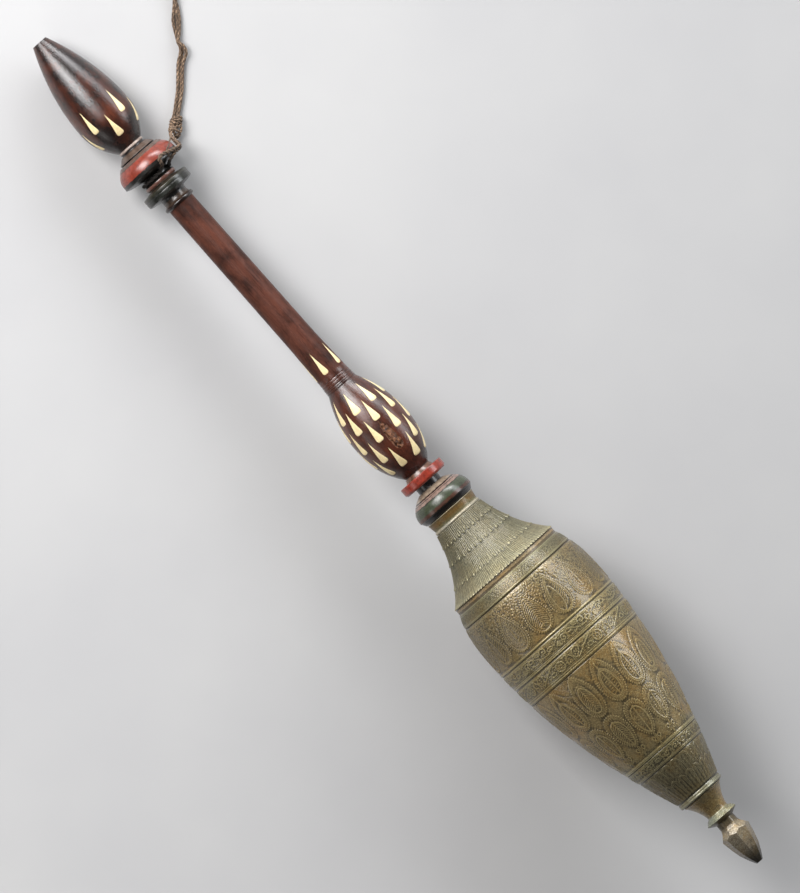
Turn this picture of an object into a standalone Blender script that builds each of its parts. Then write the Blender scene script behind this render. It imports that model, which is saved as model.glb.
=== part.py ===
# A ceremonial staff lying down: turned wooden handle inlaid with bone drops, hollow chased brass head,
# and a doubled twine hitched round a neck of the handle.
#
# Metres, +Z up. Each outline runs along the staff's own axis, from the cut wooden end (place 0) to the
# brass tip. The staff lies on two points of its outline, so its axis rises a little towards the tip,
# which points along +X. The origin is under the middle of the staff, on the surface that it lies on.

import math

import bmesh
import bpy
from mathutils import Matrix, Vector

# Clearances and small common sizes
GAP = 0.0003
HANDLE_FLAT = 0.0005
HEAD_FLAT = 0.0010
TURNED_SIDES = 18
SHARP_ANGLE = 32.0
METAL_WALL = 0.0016

# Handle: cut end and top bulb
END_RADIUS = 0.0068
TOP_BULB_RISE = 0.0776
TOP_BULB_RADIUS = 0.0245
TOP_BULB_FALL = 0.0324
TOP_NECK_RADIUS = 0.0112
TOP_NECK_LENGTH = 0.0020

# Handle: lacquered cone and the big red ring
CONE_FOOT_RADIUS = 0.0124
CONE_RADIUS = 0.0176
CONE_LENGTH = 0.0064
BAND_RADIUS = 0.0200
BAND_LENGTH = 0.0040
RED_RING_RISE = 0.0106
RED_RING_RADIUS = 0.0264
RED_RING_EDGE = 0.0026
RED_RING_BACK = 0.0050

# Handle: the neck that the twine is tied round, the small ring and the dark disc
TIE_NECK_RADIUS = 0.0120
TIE_NECK_LENGTH = 0.0030
SMALL_RING_RADIUS = 0.0148
SMALL_RING_LENGTH = 0.0056
DISC_RADIUS = 0.0218
DISC_LENGTH = 0.0096
DISC_EDGE = 0.0020
LOWER_NECK_RADIUS = 0.0116
LOWER_NECK_LENGTH = 0.0072
BEAD_RADIUS = 0.0138
BEAD_LENGTH = 0.0032

# Handle: shaft, flaring into the middle bulb
SHAFT_RADIUS = 0.0118
SHAFT_LENGTH = 0.1492
SHAFT_END_RADIUS = 0.0122
FLARE_LENGTH = 0.0460
FLARE_RADIUS = 0.0142
MID_BULB_RISE = 0.0460
MID_BULB_RADIUS = 0.0261
MID_BULB_FALL = 0.0444
MID_NECK_RADIUS = 0.0116

# Handle: pale step, red disc, neck, dome and the tenon inside the collar
PALE_STEP_RADIUS = 0.0136
PALE_STEP_LENGTH = 0.0032
RED_DISC_RADIUS = 0.0206
RED_DISC_LENGTH = 0.0082
RED_DISC_CHAMFER = 0.0016
DARK_NECK_RADIUS = 0.0112
DARK_NECK_LENGTH = 0.0050
DOME_FOOT_RADIUS = 0.0128
DOME_RISE = 0.0176
DOME_RADIUS = 0.0264
PITCH_LENGTH = 0.0052
PITCH_RADIUS = 0.0240
TENON_LENGTH = 0.0100
TENON_CHAMFER = 0.0010

# Brass neck cap
COLLAR_RADIUS = 0.0229
COLLAR_LENGTH = 0.0077
COLLAR_END_RADIUS = 0.0219
CAP_RING_RADIUS = 0.0226
CAP_RING_LENGTH = 0.0030
SKIRT_FOOT_RADIUS = 0.0230
SKIRT_LENGTH = 0.0542
LIP_RADIUS = 0.0512
FEATHERS_AROUND = 32
FIRST_FEATHER_ANGLE = -2.5
FEATHER_ROW_ENDS = (0.0112, 0.0252, 0.0416, 0.0532)
FEATHER_RELIEF = 0.0007
FEATHER_STEP = 0.0006

# Brass body: spigot, plain band, belly and its raised rings
SPIGOT_LENGTH = 0.0060
PLAIN_BAND_DEPTH = 0.0004
PLAIN_BAND_LENGTH = 0.0050
BELLY_RISE = 0.0498
BELLY_RADIUS = 0.0586
BELLY_FALL = 0.1804
BELLY_END_RADIUS = 0.0206
RING_RELIEF = 0.0004
LEAVES_AROUND = 15
FIRST_LEAF_ANGLE = 5.0
LEAF_RELIEF = 0.0006
STIPPLED_BAND = 0.0130
LEAF_ROW_1 = 0.0450
SCROLL_BAND_1 = 0.0136
SCROLL_BAND_2 = 0.0130
LEAF_ROW_2 = 0.0425
LEAF_ROW_3 = 0.0465
SCROLL_BAND_3 = 0.0100
RING_PITCH = 0.0034
END_RING_LENGTH = 0.0044
INNER_RINGS = (0.88, 0.70, 0.50, 0.30, 0.13, 0.05)

# Brass foot: waist, flange, neck and faceted bud
FOOT_SPIGOT_LENGTH = 0.0050
WAIST_RADIUS = 0.0184
WAIST_LENGTH = 0.0187
WAIST_END_RADIUS = 0.0098
FLANGE_RADIUS = 0.0144
FLANGE_RISE = 0.0048
FLANGE_FALL = 0.0036
BUD_NECK_RADIUS = 0.0086
BUD_NECK_LENGTH = 0.0060
BUD_SIDES = 12
BUD_LENGTH = 0.0378
BUD_RADIUS = 0.0128
BUD_TIP_RADIUS = 0.0024
BUD_RELIEF = 0.0010
BUD_ROWS = ((0.10, 0.85), (0.28, 1.0), (0.46, 0.92), (0.66, 0.75), (0.86, 0.50))

# Bone drops: pointed at the end nearer the cut wooden end, widest at a share of their length
DROP_LENGTH = 0.0214
DROP_WIDTH = 0.0070
DROP_WIDEST = 0.8
DROP_END_WIDTH = 0.0038
DROP_DEPTH = 0.0016
POCKET_REACH = 0.0012

# Rows of drops: (name, mark, distance from it, count around, first one's angle in degrees, lost ones)
DROP_ROWS = (
    ("top_bulb_1", "top bulb", -0.0028, 5, -38.3, ()),
    ("top_bulb_2", "top bulb", 0.0116, 5, -2.3, ()),
    ("shaft", "flare", -0.0262, 5, 13.0, ()),
    ("mid_bulb_1", "mid bulb", -0.0316, 8, 12.5, ()),
    ("mid_bulb_2", "mid bulb", -0.0180, 8, -9.5, ()),
    ("mid_bulb_3", "mid bulb", -0.0032, 8, 13.0, ()),
    ("mid_bulb_4", "mid bulb", 0.0124, 8, -9.5, (0,)),
    ("mid_bulb_5", "mid bulb", 0.0252, 8, 12.0, ()),
)

# Twine: one strand looped round the tie neck, then both strands together through a knot to the end knot
STRAND_DIAMETER = 0.0028
CORD_DIAMETER = 0.0062
CORD_SIDES_RESOLUTION = 2

# The loop's points: (distance from the tie neck, angle in degrees from the top towards -Y, radius)
LOOP_ROUTE = (
    (-0.0162, -116.0, 0.0388),
    (-0.0120, -112.0, 0.0354),
    (-0.0074, -105.0, 0.0320),
    (-0.0036, -99.0, 0.0286),
    (-0.0006, -98.0, 0.0228),
    (0.0008, -104.0, 0.0170),
    (0.0012, -120.0, 0.0140),
    (0.0012, -150.0, 0.0138),
    (0.0012, -180.0, 0.0138),
    (0.0012, -210.0, 0.0138),
    (0.0012, -240.0, 0.0138),
    (0.0012, -270.0, 0.0138),
    (0.0012, -300.0, 0.0138),
    (0.0012, -330.0, 0.0138),
    (0.0011, -352.0, 0.0142),
    (0.0006, -366.0, 0.0170),
    (-0.0006, -378.0, 0.0214),
    (-0.0020, -387.0, 0.0258),
    (-0.0046, -394.0, 0.0288),
    (-0.0074, -402.0, 0.0290),
    (-0.0084, -414.0, 0.0288),
    (-0.0084, -428.0, 0.0290),
    (-0.0090, -442.0, 0.0302),
    (-0.0108, -454.0, 0.0326),
    (-0.0140, -465.0, 0.0362),
    (-0.0170, -471.0, 0.0384),
)

# The run's points on the surface that the staff lies on, from the knot to the end knot
CORD_ROUTE = (
    (-0.3116, 0.0366, 0.0096),
    (-0.3140, 0.0380, 0.0062),
    (-0.3172, 0.0416, 0.0040),
    (-0.3208, 0.0464, 0.0033),
    (-0.3262, 0.0528, 0.0033),
    (-0.3321, 0.0596, 0.0033),
    (-0.3400, 0.0668, 0.0033),
    (-0.3474, 0.0736, 0.0033),
    (-0.3516, 0.0790, 0.0033),
    (-0.3556, 0.0828, 0.0033),
    (-0.3620, 0.0846, 0.0033),
    (-0.3692, 0.0892, 0.0033),
    (-0.3772, 0.0956, 0.0033),
    (-0.3838, 0.1004, 0.0033),
    (-0.3900, 0.1042, 0.0033),
    (-0.3980, 0.1096, 0.0033),
    (-0.4060, 0.1150, 0.0033),
)


class Outline:
    """A turned outline: (place, radius) points along the staff, and the places that trim goes by."""

    def __init__(self, place, radius):
        self.points = [(place, radius)]
        self.marks = {}

    @property
    def place(self):
        return self.points[-1][0]

    def mark(self, name):
        self.marks[name] = self.place

    def line(self, length, radius):
        """A cylinder or a cone, or a step where the length is 0."""
        self.points.append((self.place + length, radius))

    def rise(self, length, radius, power, count):
        """Swells out to a crest at its end."""
        place, foot = self.points[-1]
        for step in range(1, count + 1):
            back = 1 - step / count
            self.points.append((place + length * (1 - back), radius - (radius - foot) * back**power))

    def fall(self, length, radius, power, count):
        """Falls away from a crest at its start."""
        place, crest = self.points[-1]
        for step in range(1, count + 1):
            part = step / count
            self.points.append((place + length * part, crest - (crest - radius) * part**power))

    def radius_at(self, place):
        for (left, left_radius), (right, right_radius) in zip(self.points, self.points[1:]):
            if left <= place <= right and right > left:
                return left_radius + (right_radius - left_radius) * (place - left) / (right - left)
        return self.points[-1][1]


def handle_outline():
    """The wood, from its cut end to the end of its tenon."""
    wood = Outline(0, 0)
    wood.line(0, END_RADIUS)
    wood.rise(TOP_BULB_RISE, TOP_BULB_RADIUS, 1.95, 5)
    wood.mark("top bulb")
    wood.fall(TOP_BULB_FALL, TOP_NECK_RADIUS, 2.2, 4)
    wood.line(TOP_NECK_LENGTH, TOP_NECK_RADIUS)
    wood.line(0, CONE_FOOT_RADIUS)
    wood.line(CONE_LENGTH, CONE_RADIUS)
    wood.line(0, BAND_RADIUS - (RED_RING_RADIUS - BAND_RADIUS) / 3)
    wood.line(BAND_LENGTH, BAND_RADIUS + (RED_RING_RADIUS - BAND_RADIUS) / 3)
    wood.rise(RED_RING_RISE, RED_RING_RADIUS, 1.6, 3)
    wood.line(RED_RING_EDGE, RED_RING_RADIUS)
    wood.line(RED_RING_BACK * 0.4, TIE_NECK_RADIUS + (RED_RING_RADIUS - TIE_NECK_RADIUS) * 0.6)
    wood.line(RED_RING_BACK * 0.6, TIE_NECK_RADIUS)
    wood.mark("tie neck")
    wood.line(TIE_NECK_LENGTH, TIE_NECK_RADIUS)
    wood.line(0, SMALL_RING_RADIUS)
    wood.line(SMALL_RING_LENGTH, SMALL_RING_RADIUS)
    wood.line(DISC_EDGE, DISC_RADIUS)
    wood.line(DISC_LENGTH - DISC_EDGE, DISC_RADIUS)
    wood.line(DISC_EDGE, LOWER_NECK_RADIUS)
    wood.line(LOWER_NECK_LENGTH, LOWER_NECK_RADIUS)
    wood.line(0, BEAD_RADIUS)
    wood.line(BEAD_LENGTH, BEAD_RADIUS)
    wood.line(0, SHAFT_RADIUS)
    wood.line(SHAFT_LENGTH, SHAFT_END_RADIUS)
    wood.line(FLARE_LENGTH * 0.7, SHAFT_END_RADIUS + (FLARE_RADIUS - SHAFT_END_RADIUS) * 0.5)
    wood.line(FLARE_LENGTH * 0.3, FLARE_RADIUS)
    wood.mark("flare")
    wood.rise(MID_BULB_RISE, MID_BULB_RADIUS, 2.0, 5)
    wood.mark("mid bulb")
    wood.fall(MID_BULB_FALL, MID_NECK_RADIUS, 2.5, 5)
    wood.line(0, PALE_STEP_RADIUS)
    wood.line(PALE_STEP_LENGTH, PALE_STEP_RADIUS)
    wood.line(0, RED_DISC_RADIUS)
    wood.line(RED_DISC_LENGTH - RED_DISC_CHAMFER, RED_DISC_RADIUS)
    wood.line(RED_DISC_CHAMFER, RED_DISC_RADIUS - RED_DISC_CHAMFER)
    wood.line(0, DARK_NECK_RADIUS)
    wood.line(DARK_NECK_LENGTH, DARK_NECK_RADIUS)
    wood.line(0, DOME_FOOT_RADIUS)
    wood.rise(DOME_RISE, DOME_RADIUS, 2.6, 4)
    wood.line(PITCH_LENGTH, PITCH_RADIUS)
    wood.mark("collar seat")
    wood.line(0, COLLAR_END_RADIUS - METAL_WALL - GAP)
    wood.line(TENON_LENGTH - TENON_CHAMFER, COLLAR_END_RADIUS - METAL_WALL - GAP)
    wood.line(TENON_CHAMFER, COLLAR_END_RADIUS - METAL_WALL - GAP - TENON_CHAMFER)
    wood.line(0, 0)
    return wood


def skirt_radius(part):
    """The skirt flares from its foot (part 0) to its lip (part 1), faster near the lip."""
    return SKIRT_FOOT_RADIUS + (LIP_RADIUS - SKIRT_FOOT_RADIUS) * (0.45 * part + 0.55 * part**2.45)


def belly_outline(start):
    """The belly's smooth outline, from its plain band to the small end ring."""
    belly = Outline(start, LIP_RADIUS)
    belly.rise(BELLY_RISE, BELLY_RADIUS, 3.0, 16)
    belly.fall(BELLY_FALL, BELLY_END_RADIUS, 1.82, 40)
    return belly


def round_ring(place, radius, count):
    return place, [radius] * count


def feather_ring(place, radius):
    """A row's feather tips: each stands out from the hollows beside it."""
    reliefs = (FEATHER_RELIEF, -0.4 * FEATHER_RELIEF)
    return place, [radius + reliefs[side % 2] for side in range(2 * FEATHERS_AROUND)]


def cap_rings(start):
    """The neck cap's rings, outside from collar to lip, then back along the inside."""
    few = FEATHERS_AROUND
    ring_start = start + COLLAR_LENGTH
    skirt_start = ring_start + CAP_RING_LENGTH
    lip = skirt_start + SKIRT_LENGTH
    rings = [
        round_ring(start, COLLAR_RADIUS, few),
        round_ring(ring_start, COLLAR_END_RADIUS, few),
        round_ring(ring_start, CAP_RING_RADIUS, few),
        round_ring(skirt_start, CAP_RING_RADIUS, few),
    ]
    row_start = 0
    for row_end in FEATHER_ROW_ENDS:
        root = skirt_radius(row_start / SKIRT_LENGTH) - (FEATHER_STEP if row_start else 0)
        tip = skirt_radius(row_end / SKIRT_LENGTH) + FEATHER_STEP / 2
        rings.append(round_ring(skirt_start + row_start, root, few))
        rings.append(feather_ring(skirt_start + row_end, tip))
        row_start = row_end
    rings.append(round_ring(lip, LIP_RADIUS, few))
    bore = skirt_radius(1 - SPIGOT_LENGTH / SKIRT_LENGTH) - METAL_WALL
    rings.append(round_ring(lip, bore, few))
    rings.append(round_ring(lip - SPIGOT_LENGTH, bore, few))
    for part in (0.6, 0.3):
        rings.append(round_ring(skirt_start + SKIRT_LENGTH * part, skirt_radius(part) - METAL_WALL, few // 2))
    rings.append(round_ring(skirt_start, COLLAR_END_RADIUS - METAL_WALL, few))
    rings.append(round_ring(start, COLLAR_END_RADIUS - METAL_WALL, few))
    return rings, lip, bore


def leaf_ring(place, radius):
    """One ring through a row of leaves: each leaf stands out from the hollow between it and the next."""
    reliefs = (LEAF_RELIEF, LEAF_RELIEF, 0, LEAF_RELIEF)
    return place, [radius + reliefs[side % 4] for side in range(4 * LEAVES_AROUND)]


def body_rings(start, bore):
    """The body's rings: spigot, plain band, chased belly, end ring, then back along the inside."""
    few = 2 * LEAVES_AROUND
    belly_start = start + PLAIN_BAND_LENGTH
    belly = belly_outline(belly_start)
    spigot_radius = bore - GAP
    rings = [
        round_ring(start - SPIGOT_LENGTH + GAP, spigot_radius, few),
        round_ring(start, spigot_radius, few),
        round_ring(start, LIP_RADIUS - PLAIN_BAND_DEPTH, few),
        round_ring(belly_start, LIP_RADIUS - PLAIN_BAND_DEPTH, few),
        round_ring(belly_start, LIP_RADIUS, few),
    ]

    def raised_ring(place):
        for part, relief in ((0.5, RING_RELIEF), (1.0, 0.0)):
            spot = place + RING_PITCH * part
            rings.append(round_ring(spot, belly.radius_at(spot) + relief, few))
        return place + RING_PITCH

    def leaf_row(place, length, pointed_first):
        for part in (0.36, 0.78) if pointed_first else (0.22, 0.64):
            spot = place + length * part
            rings.append(leaf_ring(spot, belly.radius_at(spot)))
        return place + length

    place = raised_ring(belly_start + STIPPLED_BAND - RING_PITCH)
    place = raised_ring(leaf_row(place, LEAF_ROW_1, True))
    place = raised_ring(place + SCROLL_BAND_1)
    place = raised_ring(place + SCROLL_BAND_2)
    place = leaf_row(place, LEAF_ROW_2, True)
    rings.append(round_ring(place, belly.radius_at(place), few))
    place = raised_ring(leaf_row(place, LEAF_ROW_3, False))
    place = raised_ring(place + SCROLL_BAND_3)
    end = belly_start + BELLY_RISE + BELLY_FALL
    rings.append(round_ring((place + end) / 2, belly.radius_at((place + end) / 2), few))
    rings.append(round_ring(end, BELLY_END_RADIUS, few))
    finish = end + END_RING_LENGTH
    rings.append(round_ring(finish, BELLY_END_RADIUS - RING_RELIEF, few))
    mouth = WAIST_RADIUS - METAL_WALL
    rings.append(round_ring(finish, mouth, few))
    rings.append(round_ring(end - METAL_WALL, mouth, few))
    for part in INNER_RINGS:
        spot = belly_start + (BELLY_RISE + BELLY_FALL) * part
        rings.append(round_ring(spot, belly.radius_at(spot) - METAL_WALL, few))
    rings.append(round_ring(start + METAL_WALL, LIP_RADIUS - PLAIN_BAND_DEPTH - METAL_WALL, few))
    rings.append(round_ring(start + METAL_WALL, spigot_radius - METAL_WALL, few))
    rings.append(round_ring(start - SPIGOT_LENGTH + GAP, spigot_radius - METAL_WALL, few))
    return rings, finish, mouth


def bud_ring(place, radius, row):
    """One ring of the bud: ridges and hollows change places from row to row, which leaves lozenge facets."""
    radii = [radius + BUD_RELIEF * (1 if (side + row) % 2 == 0 else -1) / 2 for side in range(BUD_SIDES)]
    return place, radii


def foot_rings(start, mouth):
    """The foot's rings: spigot in the body's small mouth, waist, flange, neck and bud."""
    count = 2 * BUD_SIDES
    spigot_radius = mouth - GAP
    rings = [
        round_ring(start - FOOT_SPIGOT_LENGTH, spigot_radius, count),
        round_ring(start, spigot_radius, count),
        round_ring(start, WAIST_RADIUS, count),
    ]
    for part in (0.2, 0.5, 1.0):
        radius = WAIST_END_RADIUS + (WAIST_RADIUS - WAIST_END_RADIUS) * (1 - part) ** 1.6
        rings.append(round_ring(start + WAIST_LENGTH * part, radius, count))
    flange = start + WAIST_LENGTH
    rings.append(round_ring(flange + FLANGE_RISE, FLANGE_RADIUS, count))
    rings.append(round_ring(flange + FLANGE_RISE + FLANGE_FALL / 8, FLANGE_RADIUS, count))
    rings.append(round_ring(flange + FLANGE_RISE + FLANGE_FALL, BUD_NECK_RADIUS, count))
    neck_end = flange + FLANGE_RISE + FLANGE_FALL + BUD_NECK_LENGTH
    rings.append(round_ring(neck_end, BUD_NECK_RADIUS, BUD_SIDES))
    for row, (part, fullness) in enumerate(BUD_ROWS):
        rings.append(bud_ring(neck_end + BUD_LENGTH * part, BUD_RADIUS * fullness, row))
    rings.append(round_ring(neck_end + BUD_LENGTH, BUD_TIP_RADIUS, BUD_SIDES))
    return rings


def material(name, colour, roughness, metallic):
    finish = bpy.data.materials.new(name)
    finish.use_nodes = True
    shader = finish.node_tree.nodes["Principled BSDF"]
    shader.inputs["Base Color"].default_value = (*colour, 1)
    shader.inputs["Roughness"].default_value = roughness
    shader.inputs["Metallic"].default_value = metallic
    return finish


def add_object(name, mesh, finish, axis):
    thing = bpy.data.objects.new(name, mesh)
    thing.data.materials.append(finish)
    thing.parent = axis
    bpy.context.collection.objects.link(thing)
    return thing


def mesh_from(bm, name, smooth):
    bmesh.ops.recalc_face_normals(bm, faces=bm.faces[:])
    mesh = bpy.data.meshes.new(name)
    bm.to_mesh(mesh)
    bm.free()
    if smooth:
        mesh.shade_smooth()
        mesh.set_sharp_from_angle(angle=math.radians(SHARP_ANGLE))
    return mesh


def turned_mesh(name, points):
    """Spins an outline, which starts and ends on the axis, round the staff's axis."""
    bm = bmesh.new()
    verts = [bm.verts.new((place, 0, radius)) for place, radius in points]
    edges = [bm.edges.new(pair) for pair in zip(verts, verts[1:])]
    bmesh.ops.spin(
        bm,
        geom=verts + edges,
        cent=(0, 0, 0),
        axis=(1, 0, 0),
        angle=math.tau,
        steps=TURNED_SIDES,
        use_merge=True,
    )
    bmesh.ops.remove_doubles(bm, verts=bm.verts[:], dist=1e-6)
    return mesh_from(bm, name, True)


def stitch(bm, ring, other):
    """Joins two rings of vertices, of which one may have twice as many as the other."""
    if len(ring) > len(other):
        ring, other = other, ring
    ratio = len(other) // len(ring)
    count = len(other)
    for side in range(count):
        near, far = ring[side // ratio], ring[((side + 1) // ratio) % len(ring)]
        corners = [other[side], other[(side + 1) % count], far]
        if near is not far:
            corners.append(near)
        bm.faces.new(corners)


def ringed_mesh(name, rings, hollow, first_angle):
    """Skins rings of radii. A hollow one closes on its first ring, and a solid one gets flat ends."""
    bm = bmesh.new()
    loops = []
    for place, radii in rings:
        count = len(radii)
        turn = [first_angle + math.tau * side / count for side in range(count)]
        loops.append(
            [bm.verts.new((place, -radius * math.sin(a), radius * math.cos(a))) for radius, a in zip(radii, turn)]
        )
    for ring, other in zip(loops, loops[1:]):
        stitch(bm, ring, other)
    if hollow:
        stitch(bm, loops[-1], loops[0])
    else:
        bm.faces.new(loops[0])
        bm.faces.new(loops[-1])
    return mesh_from(bm, name, True)


def drop_frame(wood, middle, angle):
    """A drop's own frame on the wood's surface: +X along the drop, +Z out of the wood."""
    half = DROP_LENGTH / 2
    slope = math.atan2(wood.radius_at(middle + half) - wood.radius_at(middle - half), DROP_LENGTH)
    foot = Matrix.Translation((middle, 0, wood.radius_at(middle)))
    return Matrix.Rotation(math.radians(angle), 4, "X") @ foot @ Matrix.Rotation(-slope, 4, "Y")


def surface_height(wood, frame, along, across):
    """How high the wood's surface lies in a drop's frame."""
    height = 0
    for _ in range(4):
        spot = frame @ Vector((along, across, height))
        height += wood.radius_at(spot.x) - math.hypot(spot.y, spot.z)
    return height


def drop_mesh(name, wood, frame, grow, depth, reach):
    """A drop, wider by grow all round: straight walls, a flat bottom at a depth, and a top.

    The top lies flat at a reach over the wood's surface, or follows the surface without one.
    """
    length = DROP_LENGTH + 2 * grow
    outline = [(-length / 2, 0)]
    for part, width in ((DROP_WIDEST, DROP_WIDTH), (1, DROP_END_WIDTH)):
        outline.append((length * (part - 0.5), width / 2 + grow))
    outline += [(along, -across) for along, across in reversed(outline[1:])]
    bm = bmesh.new()
    top = []
    bottom = []
    for along, across in outline:
        height = reach or surface_height(wood, frame, along, across)
        top.append(bm.verts.new(frame @ Vector((along, across, height))))
        bottom.append(bm.verts.new(frame @ Vector((along, across, -depth))))
    bm.faces.new(top)
    bm.faces.new(reversed(bottom))
    for side, (start, finish) in enumerate(zip(top, top[1:] + top[:1])):
        bm.faces.new((start, bottom[side], bottom[(side + 1) % len(bottom)], finish))
    bmesh.ops.triangulate(bm, faces=bm.faces[:])
    return mesh_from(bm, name, False)


def cut(thing, cutter):
    """Takes a cutter away from an object with an exact Boolean."""
    boolean = thing.modifiers.new("cut " + cutter.name, "BOOLEAN")
    boolean.operation = "DIFFERENCE"
    boolean.solver = "EXACT"
    boolean.object = cutter


def hide_cutter(cutter):
    cutter.hide_render = True
    cutter.display_type = "WIRE"


def rest_line(points):
    """The tilt and the height of the axis at place 0, for a staff lying on its own outline.

    The outline's hull has one long edge, from the top bulb to the head's belly: the surface lies along it.
    """
    hull = []
    for place, radius in sorted(points):
        while len(hull) >= 2:
            (x0, r0), (x1, r1) = hull[-2], hull[-1]
            if (x1 - x0) * (radius - r0) - (r1 - r0) * (place - x0) < 0:
                break
            hull.pop()
        hull.append((place, radius))
    near, far = max(zip(hull, hull[1:]), key=lambda edge: edge[1][0] - edge[0][0])
    tilt = math.atan2(far[1] - near[1], far[0] - near[0])
    height = near[1] * math.cos(tilt) - near[0] * math.sin(tilt)
    return tilt, height


def smooth_route(route, steps):
    """Reads a smooth curve through a route's points, with so many points to a stretch."""
    spots = [Vector(point) for point in route]
    spots = [spots[0]] + spots + [spots[-1]]
    points = []
    for a, b, c, d in zip(spots, spots[1:], spots[2:], spots[3:]):
        for step in range(steps):
            t = step / steps
            swing = (2 * a - 5 * b + 4 * c - d) * t**2 + (3 * b - a - 3 * c + d) * t**3
            points.append(b + ((c - a) * t + swing) / 2)
    points.append(spots[-1])
    return points


def add_cord(name, points, diameter, finish, closed):
    """A plain round tube along its points."""
    curve = bpy.data.curves.new(name, "CURVE")
    curve.dimensions = "3D"
    curve.bevel_depth = diameter / 2
    curve.bevel_resolution = CORD_SIDES_RESOLUTION
    curve.use_fill_caps = not closed
    spline = curve.splines.new("POLY")
    spline.points.add(len(points) - 1)
    for spot, point in zip(spline.points, points):
        spot.co = (*point, 1)
    spline.use_cyclic_u = closed
    cord = bpy.data.objects.new(name, curve)
    cord.data.materials.append(finish)
    bpy.context.collection.objects.link(cord)
    return cord


def main():
    for thing in list(bpy.data.objects):
        bpy.data.objects.remove(thing)

    dark_wood = material("dark wood", (0.105, 0.032, 0.016), 0.35, 0)
    bone = material("bone", (0.72, 0.60, 0.38), 0.4, 0)
    old_brass = material("old brass", (0.32, 0.26, 0.12), 0.42, 1)
    pale_brass = material("pale patinated brass", (0.42, 0.40, 0.30), 0.55, 1)
    dark_brass = material("dark brass", (0.16, 0.12, 0.06), 0.45, 1)
    twine = material("twine", (0.20, 0.13, 0.07), 0.9, 0)

    wood = handle_outline()
    collar_start = wood.marks["collar seat"] + GAP
    caps, lip, bore = cap_rings(collar_start)
    bodies, body_end, mouth = body_rings(lip + GAP, bore)
    feet = foot_rings(body_end + GAP, mouth)
    head_outline = [(place, max(radii)) for rings in (caps, bodies, feet) for place, radii in rings]
    handle_rest = [(place, radius - HANDLE_FLAT) for place, radius in wood.points]
    head_rest = [(place, radius - HEAD_FLAT) for place, radius in head_outline]
    tilt, height = rest_line(handle_rest + head_rest)

    ends = []
    for place, radius in wood.points + head_outline:
        for reach in (radius, -radius):
            ends.append(place * math.cos(tilt) + reach * math.sin(tilt))
    middle = (min(ends) + max(ends)) / 2
    axis = bpy.data.objects.new("staff_axis", None)
    axis.matrix_world = Matrix.Translation((-middle, 0, height)) @ Matrix.Rotation(-tilt, 4, "Y")
    bpy.context.collection.objects.link(axis)

    floor_size = 4 * BELLY_RADIUS
    bm = bmesh.new()
    bmesh.ops.create_cube(bm, size=1)
    bmesh.ops.scale(bm, vec=(2 * (ends[-1] - ends[0]), floor_size, floor_size), verts=bm.verts[:])
    bmesh.ops.translate(bm, vec=(0, 0, -floor_size / 2), verts=bm.verts[:])
    floor = bpy.data.objects.new("rest_cutter", mesh_from(bm, "rest_cutter", False))
    bpy.context.collection.objects.link(floor)
    hide_cutter(floor)

    handle = add_object("handle", turned_mesh("handle", wood.points), dark_wood, axis)
    cap_mesh = ringed_mesh("brass_neck_cap", caps, True, math.radians(FIRST_FEATHER_ANGLE))
    add_object("brass_neck_cap", cap_mesh, pale_brass, axis)
    body_mesh = ringed_mesh("brass_body", bodies, True, math.radians(FIRST_LEAF_ANGLE))
    body = add_object("brass_body", body_mesh, old_brass, axis)
    add_object("brass_foot", ringed_mesh("brass_foot", feet, False, 0), dark_brass, axis)

    pockets = bmesh.new()
    for row, mark, distance, around, first_angle, lost in DROP_ROWS:
        spot = wood.marks[mark] + distance
        for number in range(around):
            angle = first_angle + 360 * number / around
            name = f"bone_drop_{row}_{number + 1}"
            frame = drop_frame(wood, spot, angle)
            pocket = drop_mesh(name + "_pocket", wood, frame, GAP, DROP_DEPTH + GAP, POCKET_REACH)
            pockets.from_mesh(pocket)
            bpy.data.meshes.remove(pocket)
            if number in lost:
                continue
            drop = add_object(name, drop_mesh(name, wood, frame, 0, DROP_DEPTH, None), bone, axis)
            if math.cos(math.radians(angle)) < -0.9:
                cut(drop, floor)
    pocket_cutter = add_object("pocket_cutter", mesh_from(pockets, "pocket_cutter", False), dark_wood, axis)
    hide_cutter(pocket_cutter)
    cut(handle, pocket_cutter)
    cut(handle, floor)
    cut(body, floor)

    neck = wood.marks["tie neck"]
    loop = []
    for distance, angle, radius in LOOP_ROUTE:
        turn = math.radians(angle)
        loop.append((neck + distance, -radius * math.sin(turn), radius * math.cos(turn)))
    tie = add_cord("cord_neck_tie", loop, STRAND_DIAMETER, twine, True)
    tie.parent = axis
    add_cord("cord_run", smooth_route(CORD_ROUTE, 2), CORD_DIAMETER, twine, False)


main()
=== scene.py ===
import math
import random

import bmesh
import bpy
import numpy as np
from mathutils import Matrix, Vector


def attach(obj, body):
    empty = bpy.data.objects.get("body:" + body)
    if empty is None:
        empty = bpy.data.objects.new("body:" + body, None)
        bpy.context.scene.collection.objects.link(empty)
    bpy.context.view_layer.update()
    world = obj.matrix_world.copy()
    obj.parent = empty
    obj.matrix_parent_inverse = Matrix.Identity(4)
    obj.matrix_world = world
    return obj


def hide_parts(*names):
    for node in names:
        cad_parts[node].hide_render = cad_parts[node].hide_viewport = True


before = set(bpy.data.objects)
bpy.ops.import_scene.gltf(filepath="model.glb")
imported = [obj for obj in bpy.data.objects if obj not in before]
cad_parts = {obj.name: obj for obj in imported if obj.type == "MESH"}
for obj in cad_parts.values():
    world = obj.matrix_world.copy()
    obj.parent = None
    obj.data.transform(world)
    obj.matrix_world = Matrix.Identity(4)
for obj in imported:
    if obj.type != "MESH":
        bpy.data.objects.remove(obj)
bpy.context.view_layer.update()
MM = 0.001
random.seed(11)

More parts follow.
